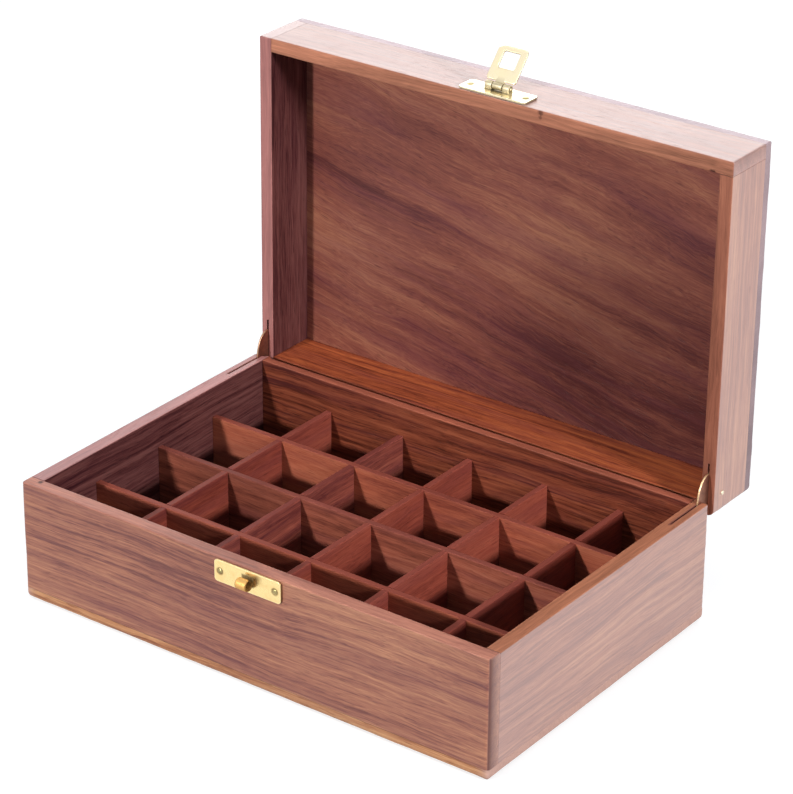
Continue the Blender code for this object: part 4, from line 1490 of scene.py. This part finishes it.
@dataclass(frozen=True)
class ClaspSheet:
    """A thin brass plate on the front, with rounded corners and a dimple around each nail.

    It is made of the outline drawn in by more or less, from the middle of the back round the
    edge to the middle of the front. A dimple is d (1 - s), where s rises smoothly from 0 to 1
    with the distance from its nail.
    """

    thickness: float = 0.0008
    corner: float = 0.0016
    edge: float = 0.00028
    dimple_radius: float = 0.0021
    dimple_depth: float = 0.00042
    nail_inset: float = 0.003
    core_inset: float = 0.0006
    back_insets: tuple[float, float] = (0.002, 0.0001)
    box_fade: float = 0.0007
    nail_shade: float = 0.0015
    nail_fade: float = 0.0005

    def shell(self, low: Array, high: Array,
              shade_box: tuple[float, float, float, float]) -> Shell:
        """The plate as a shell.

        Args:
            low: The lowest corner of the plate's node.
            high: Its highest corner.
            shade_box: Where shade is painted: middle x and z, and half sizes.

        Returns:
            The shell, as the plate lies when closed.
        """
        half = ((high[0] - low[0]) / 2, (high[2] - low[2]) / 2)
        bend = np.linspace(0, math.pi / 2, 6)
        core = half[1] - self.core_inset
        back = [core, *self.back_insets]
        across = np.linspace(self.edge, core, 14)[1:]
        insets = np.concatenate([back, self.edge * (1 - np.cos(bend)), across])
        lifts = np.concatenate([
            np.zeros(len(back)),
            self.thickness - self.edge * (1 - np.sin(bend)),
            np.full(len(across), self.thickness),
        ])
        front = len(back) + len(bend)
        rim = front - len(bend) // 2
        flat = np.array([framed_outline(half, self.corner, inset) for inset in insets])
        lift = np.repeat(lifts[:, None], flat.shape[1], axis=1)
        nails = half[0] - self.nail_inset
        nail_gaps = [np.hypot(flat[..., 0] - side * nails, flat[..., 1]) for side in (-1, 1)]
        for gap in nail_gaps:
            ease = np.clip(gap / self.dimple_radius, 0, 1)
            dip = self.dimple_depth * (1 - ease * ease * (3 - 2 * ease))
            lift[front:] -= dip[front:]
        middle = (low + high) / 2
        places = [middle[0] + flat[..., 0], high[1] - lift, middle[2] + flat[..., 1]]
        rings = np.stack(places, axis=-1)
        wear = np.zeros(lift.shape)
        # The rounded edge takes wear and a painted highlight
        wear[rim:front] = 0.4
        middle_x, middle_z, half_wide, half_high = shade_box
        beyond = np.maximum(
            np.abs(rings[..., 0] - middle_x) - half_wide,
            np.abs(rings[..., 2] - middle_z) - half_high,
        )
        # Painted shade in the shade box, on the back and its half of the edge, and round each nail
        grime = np.clip(1 - beyond / self.box_fade, 0, 1) * 0.9
        grime[:rim] = 0.5
        for gap in nail_gaps:
            near = np.clip(1 - (gap - self.nail_shade) / self.nail_fade, 0, 1)
            grime = np.maximum(grime, near * 0.8)
        rows, columns = lift.shape
        faces = grid_faces(rows, columns, False, True).tolist()
        for first in (0, (rows - 1) * columns):
            faces += [[first + number for number in face] for face in self.middle_faces()]
        return Shell(rings.reshape(-1, 3), faces, wear.reshape(-1), grime.reshape(-1))

    def middle_faces(self) -> list[list[int]]:
        """The faces that close an outline: a strip from its upper to its lower half, and two ends.

        Point k of the upper half stands over point last - k of the lower half. Each end face
        takes in its corners and its short side.
        """
        arc, long_side, short_side = OUTLINE_COUNTS
        last = 4 * arc + 2 * long_side + short_side - 1
        turn = 2 * arc + long_side - 1
        strip = [[k, k + 1, last - k - 1, last - k] for k in range(arc, turn - arc)]
        right_end = [*range(arc + 1), *range(last - arc, last + short_side + 1)]
        left_end = list(range(turn - arc, last - turn + arc + 1))
        return [*strip, right_end, left_end]


@dataclass
class Clasp:
    """The catch on the base, and the plate, pin and hasp on the lid."""

    base: Stance
    lid: Stance
    hasp: Stance
    sheet: ClaspSheet = ClaspSheet()
    curl_radius: float = 0.0028
    curl_sheet: float = 0.0009
    curl_width: float = 0.0056
    curl_start: float = math.radians(15)
    curl_end: float = math.radians(-285)
    curl_tightening: float = 0.0005
    curl_taper: float = 0.12
    curl_painted_shade: float = 0.7
    curl_seat: float = 0.0016
    curl_seat_fade: float = 0.002
    shadow_shift: tuple[float, float] = (0.0002, 0.0004)
    shadow_half_high: float = 0.0020
    barrel_radius: float = 0.0016
    barrel_edge: float = 0.00025
    lug_width: float = 0.0034
    lug_edge: float = 0.0003
    pin_radius: float = 0.00055
    pin_dome: float = 0.0003
    pin_clearance: float = 0.0001
    fit: float = 0.0003
    leaf_thickness: float = 0.0010
    shoulder: float = 0.0022
    shoulder_round: float = 0.0012
    neck_half: float = 0.0022
    neck_start: float = 0.0010
    neck_shade: float = 0.001
    neck_shade_fade: float = 0.002
    leaf_corner: float = 0.0030
    window_half_wide: float = 0.0041
    window_start: float = 0.0080
    window_end: float = 0.0156
    window_corner: float = 0.0009
    lip: float = 0.0020
    lip_angle: float = math.radians(25)
    nail: Nail = Nail(
        head_radius=0.00125, dome_rise=0.0006, head_rim=0.00005, neck=0.0001, dome_steps=7,
    )
    nail_length: float = 0.0050
    nail_sink: float = 0.0001

    def build(self) -> None:
        """Build the clasp's brass pieces and their nails."""
        brass = BRASS.material()
        pale_brass = PAINTED_LIT_BRASS.material()
        self.build_catch(brass)
        self.build_hasp_plate(pale_brass)
        self.build_pin(pale_brass)
        self.build_leaf(pale_brass)
        self.build_nails(NAIL_METAL.material())

    def build_catch(self, brass: bpy.types.Material) -> None:
        """The catch plate with its curl, and painted shade under the curl."""
        low, high = closed_box("catch_plate", self.base)
        middle = (low + high) / 2
        right, up = self.shadow_shift
        half_wide = self.curl_width / 2 - right
        shade_box = (middle[0] + right, middle[2] + up, half_wide, self.shadow_half_high)
        plate = self.sheet.shell(low, high, shade_box)
        piece = plate.build("catch_plate_brass", self.base, brass)
        curl = self.curl(middle, low[1] + self.curl_radius)
        # The curl is darkened towards the tarnish colour: painted shade and dark reflection
        curl.tarnish = self.curl_painted_shade
        join(piece, curl.build("catch_curl", self.base, brass))
        settle(piece, "catch_plate", "base")

    def curl(self, middle: Array, centre_y: float) -> Shell:
        """The rolled tongue: a rounded strip section carried along a tightening arc.

        At share t of the way the section stands at the arc's turn a, at a distance of
        R - k t^2 from its centre. The section is |cos s|^p and |sin s|^p across and through.
        """
        share = np.linspace(0, 1, 60)[:, None]
        turn = self.curl_start + (self.curl_end - self.curl_start) * share
        around = np.linspace(0, math.tau, 32, endpoint=False)[None, :]
        across = blunted(np.cos(around), 0.22) * self.curl_width / 2
        through = blunted(np.sin(around), 0.6) * self.curl_sheet / 2
        narrowing = 1 - self.curl_taper * share**3
        reach = self.curl_radius - self.curl_sheet / 2 - self.curl_tightening * share**2 + through
        rings = np.stack([
            middle[0] + across * narrowing,
            centre_y + reach * np.cos(turn),
            middle[2] + reach * np.sin(turn),
        ], axis=-1)
        border = np.clip(np.abs(across) / (self.curl_width / 2) * 6 - 5, 0, 1) + 0 * share
        inner = np.clip(-through / (self.curl_sheet / 2), 0, 1)
        to_seat = centre_y + self.curl_seat - rings[..., 1]
        seat = np.clip(1 - to_seat / self.curl_seat_fade, 0, 1)
        # Painted shade inside the roll, along its edges and where it meets the plate
        grime = 0.16 + 0.5 * inner + 0.60 * border + 0.6 * seat
        return Shell.from_rings(rings, 0 * border, np.clip(grime, 0, 0.9))

    def barrel_half(self) -> float:
        """Half the width of the hasp's barrel, which fits between the lugs."""
        low, high = closed_box("hasp_pin", self.lid)
        return (high[0] - low[0]) / 2 - self.fit - self.lug_width - self.fit

    def build_hasp_plate(self, brass: bpy.types.Material) -> None:
        """The plate on the lid, with the two lugs that hold the pin."""
        low, high = closed_box("hasp_plate", self.lid)
        middle_x = (low[0] + high[0]) / 2
        pin_low, pin_high = closed_box("hasp_pin", self.lid)
        _, pin_y, pin_z = (pin_low + pin_high) / 2
        radius = self.barrel_radius
        inner = self.barrel_half()
        outer = inner + self.lug_width
        plate = self.sheet.shell(low, high, (middle_x, pin_z, outer, radius))
        piece = plate.build("hasp_plate_brass", self.lid, brass)
        seat = high[1] - self.sheet.thickness / 2
        curve = arc_points((pin_y, pin_z), radius, math.pi / 2, 1.5 * math.pi, 28)
        outline = np.vstack([curve, [[seat, pin_z - radius], [seat, pin_z + radius]]])
        for side in (-1, 1):
            ends = sorted(middle_x + side * (place + self.fit) for place in (inner, outer))
            lug = thick_outline(outline, *ends, self.lug_edge)
            # Painted shade on the lugs, darker on their flat sides
            lug.grime = np.where(lug.wear > 0, 0.50, 0.85)
            lug.wear = 0 * lug.wear
            join(piece, lug.build("hasp_lug", self.lid, brass))
        settle(piece, "hasp_plate", "lid")

    def build_pin(self, brass: bpy.types.Material) -> None:
        """The hasp's pin, with riveted ends."""
        low, high = closed_box("hasp_pin", self.lid)
        half = (high[0] - low[0]) / 2
        end = dome(self.pin_radius, self.pin_dome, half - self.pin_dome, 6)
        shell = turned(np.vstack([end[::-1] * [1, -1], end]))
        shell.points = shell.points[:, [2, 0, 1]] + (low + high) / 2
        settle(shell.build("hasp_pin_brass", self.lid, brass), "hasp_pin", "lid")

    def build_leaf(self, brass: bpy.types.Material) -> None:
        """The hasp: a leaf with a window and a lip, and a barrel about the pin."""
        low, high = closed_box("hasp_leaf", self.hasp)
        piece = self.leaf(low, high).build("hasp_leaf_brass", self.hasp, brass)
        barrel = self.barrel((low[0] + high[0]) / 2)
        join(piece, barrel.build("hasp_barrel", self.hasp, brass))
        settle(piece, "hasp_leaf", "hasp")

    def leaf(self, low: Array, high: Array) -> Shell:
        """The leaf, as a closed loop of sections from the window's edge to the outer edge.

        Each section lies on a ray from the window's middle, and is |cos s|^p by |sin s|^p.
        """
        _, pivot_y, pivot_z = self.hasp.pivot
        middle_x = (low[0] + high[0]) / 2
        tip = pivot_z - low[2]
        centre_drop = (self.window_start + self.window_end) / 2
        outer = self.leaf_outline((high[0] - low[0]) / 2, tip) + [0, centre_drop]
        window = self.window_points(outer)
        around = np.linspace(0, math.tau, 20, endpoint=False)[None, :]
        across = blunted(np.cos(around), 0.30)
        through = blunted(np.sin(around), 0.45) * self.leaf_thickness / 2
        share = (0.5 + 0.5 * across)[..., None]
        flat = window[:, None, :] * (1 - share) + outer[:, None, :] * share
        drop = centre_drop - flat[..., 1]
        bent = np.clip(drop - (tip - self.lip), 0, None) * math.tan(self.lip_angle)
        places = [middle_x + flat[..., 0], pivot_y - through - bent, pivot_z - drop]
        rings = np.stack(places, axis=-1)
        # Painted shade along the leaf's edges and at its neck by the barrel
        border = np.clip(np.abs(across) * 5 - 4, 0, 1) + np.zeros(rings.shape[:2])
        neck = np.clip(1 - (drop - self.neck_shade) / self.neck_shade_fade, 0, 0.6)
        grime = np.maximum(0.35 * border, neck)
        return Shell.from_rings(rings, 0 * border, grime, True)

    def barrel(self, middle_x: float) -> Shell:
        """The barrel: a ring with rounded edges about the pin, with painted shade that deepens
        towards its ends.
        """
        _, pivot_y, pivot_z = self.hasp.pivot
        half = self.barrel_half()
        curve = arc_points((0.0, 0.0), self.barrel_edge, 0, math.pi / 2, 5)
        wall = curve + [self.barrel_radius - self.barrel_edge, half - self.barrel_edge]
        bore = self.pin_radius + self.pin_clearance
        profile = np.vstack([wall, [[bore, half], [bore, -half]], (wall * [1, -1])[::-1]])
        radius, place = profile[:, :1], profile[:, 1:]
        turn = np.linspace(0, math.tau, 36, endpoint=False)
        rings = np.stack([
            middle_x + place + 0 * turn,
            pivot_y + radius * np.cos(turn),
            pivot_z + radius * np.sin(turn),
        ], axis=-1)
        unworn = np.zeros(rings.shape[:2])
        grime = np.clip((np.abs(place) / half - 0.75) * 4, 0.45, 0.9) + unworn
        return Shell.from_rings(rings, unworn, grime, True)

    def leaf_outline(self, half: float, tip: float) -> Array:
        """The leaf's outer edge from its neck round its rounded tip, closely spaced."""
        neck, shoulder = self.neck_half, self.shoulder
        bow, corner = self.shoulder_round, self.leaf_corner
        corners = np.vstack([
            [[neck, -self.neck_start], [neck, -shoulder]],
            arc_points((half - bow, -shoulder - bow), bow, math.pi / 2, 0, 7),
            arc_points((half - corner, corner - tip), corner, 0, -math.pi / 2, 10),
            arc_points((corner - half, corner - tip), corner, -math.pi / 2, -math.pi, 10),
            arc_points((bow - half, -shoulder - bow), bow, math.pi, math.pi / 2, 7),
            [[-neck, -shoulder], [-neck, -self.neck_start]],
        ])
        closed = np.vstack([corners, corners[:1]])
        lengths = np.linalg.norm(np.diff(closed, axis=0), axis=1)
        along = np.concatenate([[0], np.cumsum(lengths)])
        places = np.linspace(0, along[-1], 240, endpoint=False)
        return np.column_stack([np.interp(places, along, closed[:, axis]) for axis in (0, 1)])

    def window_points(self, outer: Array) -> Array:
        """Where the rays from the window's middle to the outer edge cross the window's edge."""
        half = np.array([self.window_half_wide, (self.window_end - self.window_start) / 2])
        edge = outer / np.max(np.abs(outer) / half, axis=1)[:, None]
        inner = np.clip(edge, self.window_corner - half, half - self.window_corner)
        away = edge - inner
        return inner + away / np.linalg.norm(away, axis=1)[:, None] * self.window_corner

    def build_nails(self, metal: bpy.types.Material) -> None:
        """The four nails, each with its domed head in its plate's dimple."""
        sheet = self.sheet
        for plate, stance in (("catch_plate", self.base), ("hasp_plate", self.lid)):
            plate_back = closed_box(plate, stance)[1][1]
            seat = plate_back - sheet.thickness + sheet.dimple_depth - self.nail_sink
            for side in ("left", "right"):
                node = f"{plate}_nail_{side}"
                low, high = closed_box(node, stance)
                middle_x, _, middle_z = (low + high) / 2
                shell = self.nail.shell(self.nail_length)
                x, y, z = shell.points.T
                shell.points = np.column_stack([middle_x + x, seat - z, middle_z + y])
                piece = shell.build(f"{node}_metal", stance, metal)
                settle(piece, node, stance.body)


@dataclass
class Hinges:
    """The two hinge plates, let into the side walls, with their nails and pins."""

    lid: Stance
    rim_rise: float = 0.0056
    heel: float = 0.0026
    reach: float = 0.0167
    ear_low_share: float = 0.63
    ear_front_share: float = 0.03
    pin_inset: float = 0.0028
    blade_radius: float = SawKerf.blade_radius
    kerf_depth: float = Lid.kerf_depth
    kerf_runout: float = 0.0046
    spare: float = 0.0005
    thinned: float = 0.0002
    edge: float = 0.00022
    nail: Nail = Nail(
        head_radius=0.0010, dome_rise=0.0004, head_rim=0.0003, neck=0.0004, dome_steps=6,
    )
    # How much of the edges' wear and painted highlight the left plate keeps: less, as painted shade
    left_shaded_highlight_share: float = 0.25

    def build(self) -> None:
        """Build the plates and nails, and dress the hidden pins."""
        metal = HINGE_METAL.material()
        nail_metal = HINGE_NAIL_METAL.material()
        for side, way in (("left", -1), ("right", 1)):
            node = f"hinge_plate_{side}"
            low, high = closed_box(node, self.lid)
            outline = self.outline() + np.array(self.lid.pivot[1:])
            plate = thick_outline(outline, low[0] + self.thinned, high[0] - self.thinned, self.edge)
            # The left plate's edges are dimmed: painted shade
            plate.wear *= 1.0 if way > 0 else self.left_shaded_highlight_share
            settle(plate.build(f"{node}_metal", self.lid, metal), node, "lid")
            self.build_nail(side, way, nail_metal)
            frame["nodes"][f"hinge_pin_{side}"].material_slots[0].material = metal

    def outline(self) -> Array:
        """The plate's side view about its pin: heel, ear and the part inside the lid.

        The ear's edge is the cubic curve with weights (1-t)^3, 3 t (1-t)^2, 3 t^2 (1-t), t^3.
        """
        start = np.array([0.0, -self.heel])
        end = np.array([-self.reach, self.rim_rise])
        low_pull = np.array([-self.reach * self.ear_low_share, -self.heel])
        front_pull = np.array([-self.reach, -self.rim_rise * self.ear_front_share])
        share = np.linspace(0, 1, 40)[1:, None]
        rest = 1 - share
        ear = rest**3 * start + 3 * rest**2 * share * low_pull
        ear = ear + 3 * rest * share**2 * front_pull + share**3 * end
        heel = arc_points((0.0, 0.0), self.heel, 0, -math.pi / 2, 14)
        lift = self.blade_radius - self.kerf_depth
        kerf_reach = self.pin_inset + self.reach + self.kerf_runout
        half_chord = math.sqrt(self.blade_radius**2 - lift**2)
        centre = (half_chord + self.pin_inset - kerf_reach, self.rim_rise - lift)
        radius = self.blade_radius - self.spare
        front = math.acos((-self.reach - centre[0]) / radius)
        inside = arc_points(centre, radius, front, math.pi / 2, 30)
        corner = np.array([[self.heel, inside[-1, 1]]])
        return np.vstack([heel, ear, inside, corner])

    def build_nail(self, side: str, way: int, metal: bpy.types.Material) -> None:
        """The nail through a lid side wall, with its flat dome just proud of the wood."""
        node = f"hinge_nail_{side}"
        low, high = closed_box(node, self.lid)
        _, middle_y, middle_z = (low + high) / 2
        rise = self.nail.dome_rise
        foot = high[0] - rise if way > 0 else low[0] + rise
        shell = self.nail.shell(high[0] - low[0] - rise)
        x, y, z = shell.points.T
        shell.points = np.column_stack([foot + way * z, middle_y + x, middle_z + y])
        settle(shell.build(f"{node}_metal", self.lid, metal), node, "lid")


# The studio

@dataclass(frozen=True)
class Lamp:
    """A rectangular lamp that shines from a direction onto the middle of the box."""

    name: str
    direction: tuple[float, float, float]
    distance: float
    size: tuple[float, float]
    level: float

    def build(self, target: Vector) -> None:
        """Hang the lamp. At level 1 a white surface that faces it shows as white."""
        light = bpy.data.lights.new(self.name, "AREA")
        light.shape = "RECTANGLE"
        light.size, light.size_y = self.size
        light.energy = self.level * math.pi**2 * self.distance**2
        lamp = bpy.data.objects.new(self.name, light)
        way = Vector(self.direction).normalized()
        lamp.location = target + way * self.distance
        lamp.rotation_euler = way.to_track_quat("Z", "Y").to_euler()
        bpy.context.scene.collection.objects.link(lamp)


@dataclass(frozen=True)
class PhotoCamera:
    """The camera at the photo's own place, found from the box's straight edges."""

    place: tuple[float, float, float] = (0.72338, -0.96277, 0.69542)
    azimuth: float = 36.290
    elevation: float = 26.331
    roll: float = 0.419
    focal_pixels: float = 3270.3
    image_width: int = 793
    sensor_width: float = 36.0

    def build(self) -> None:
        """Set the camera up and make it the scene's."""
        camera = bpy.data.cameras.new("photo_camera")
        camera.sensor_fit = "HORIZONTAL"
        camera.sensor_width = self.sensor_width
        camera.lens = self.focal_pixels / self.image_width * self.sensor_width
        camera.clip_end = 50
        rig = bpy.data.objects.new("photo_camera", camera)
        turn = Matrix.Rotation(math.radians(self.azimuth), 4, "Z")
        turn @= Matrix.Rotation(math.radians(90 - self.elevation), 4, "X")
        turn @= Matrix.Rotation(math.radians(self.roll), 4, "Z")
        rig.matrix_world = Matrix.Translation(self.place) @ turn
        bpy.context.scene.collection.objects.link(rig)
        bpy.context.scene.camera = rig


@dataclass(frozen=True)
class Studio:
    """A white floor, soft lamps and a white surrounding."""

    floor_half: float = 4.0
    floor_drop: float = 0.0004
    floor_tone: float = 0.42
    floor_glow: float = 0.70
    ambient: float = 0.21
    shade_tint: Colour = (0.54, 0.78, 1.0)
    target: tuple[float, float, float] = (0.0, 0.0, 0.06)
    lamps: tuple[Lamp, ...] = (
        Lamp("left_front_lamp", (-0.23, -1.0, 0.44), 1.7, (0.10, 0.10), 0.71),
        Lamp("right_lamp", (1.0, -0.14, 0.44), 1.7, (0.20, 0.20), 0.75),
        Lamp("overhead_lamp", (0.1, -0.1, 1.0), 1.8, (0.9, 0.9), 0.15),
        Lamp("back_panel", (-0.53, 0.722, 0.444), 2.2, (1.9, 1.1), 0.50),
    )

    def build(self) -> None:
        """Build the floor, the surrounding, the lamps and the camera."""
        self.build_floor()
        self.build_world()
        for lamp in self.lamps:
            lamp.build(Vector(self.target))
        PhotoCamera().build()
        bpy.context.scene.view_settings.view_transform = "Standard"

    def build_floor(self) -> None:
        """A pale floor that shows as white and keeps the box's shadow."""
        half = self.floor_half
        corners = np.array([[-half, -half], [half, -half], [half, half], [-half, half]])
        points = np.column_stack([corners, np.full(4, -self.floor_drop)])
        floor = new_mesh_piece("studio_floor", points, [[0, 1, 2, 3]])
        shade = Shade("studio_floor_white")
        path = shade.add("LightPath")
        seen = shade.math("MAXIMUM", path.outputs["Is Camera Ray"], path.outputs["Is Glossy Ray"])
        seen = shade.math("MAXIMUM", seen, path.outputs["Is Transmission Ray"])
        floor.data.materials.append(shade.finish(
            Base_Color=(*[self.floor_tone] * 3, 1.0),
            Roughness=0.9,
            Specular_IOR_Level=0.0,
            Emission_Color=(1.0, 1.0, 1.0, 1.0),
            Emission_Strength=shade.math("MULTIPLY", seen, self.floor_glow),
        ))

    def build_world(self) -> None:
        """White where the camera or a shiny surface sees it, and a soft bluish light otherwise."""
        world = bpy.data.worlds.new("studio_surround")
        world.use_nodes = True
        tree = world.node_tree
        path = tree.nodes.new("ShaderNodeLightPath")
        seen = tree.nodes.new("ShaderNodeMath")
        seen.operation = "MAXIMUM"
        tree.links.new(path.outputs["Is Camera Ray"], seen.inputs[0])
        tree.links.new(path.outputs["Is Glossy Ray"], seen.inputs[1])
        level = tree.nodes.new("ShaderNodeMapRange")
        level.inputs["To Min"].default_value = self.ambient
        tree.links.new(seen.outputs[0], level.inputs["Value"])
        background = tree.nodes["Background"]
        tint = tree.nodes.new("ShaderNodeMix")
        tint.data_type = "RGBA"
        tint.inputs["A"].default_value = (*self.shade_tint, 1.0)
        tint.inputs["B"].default_value = (1.0, 1.0, 1.0, 1.0)
        tree.links.new(seen.outputs[0], tint.inputs["Factor"])
        tree.links.new(tint.outputs["Result"], background.inputs["Color"])
        tree.links.new(level.outputs["Result"], background.inputs["Strength"])
        bpy.context.scene.world = world


def main() -> None:
    """Build the studio, the base, the lid and the metal pieces."""
    base_stance, lid_stance, hasp_stance = stances()
    Studio().build()
    Base(base_stance).build()
    Lid(lid_stance).build()
    Clasp(base_stance, lid_stance, hasp_stance).build()
    Hinges(lid_stance).build()


if __name__ == "__main__":
    main()
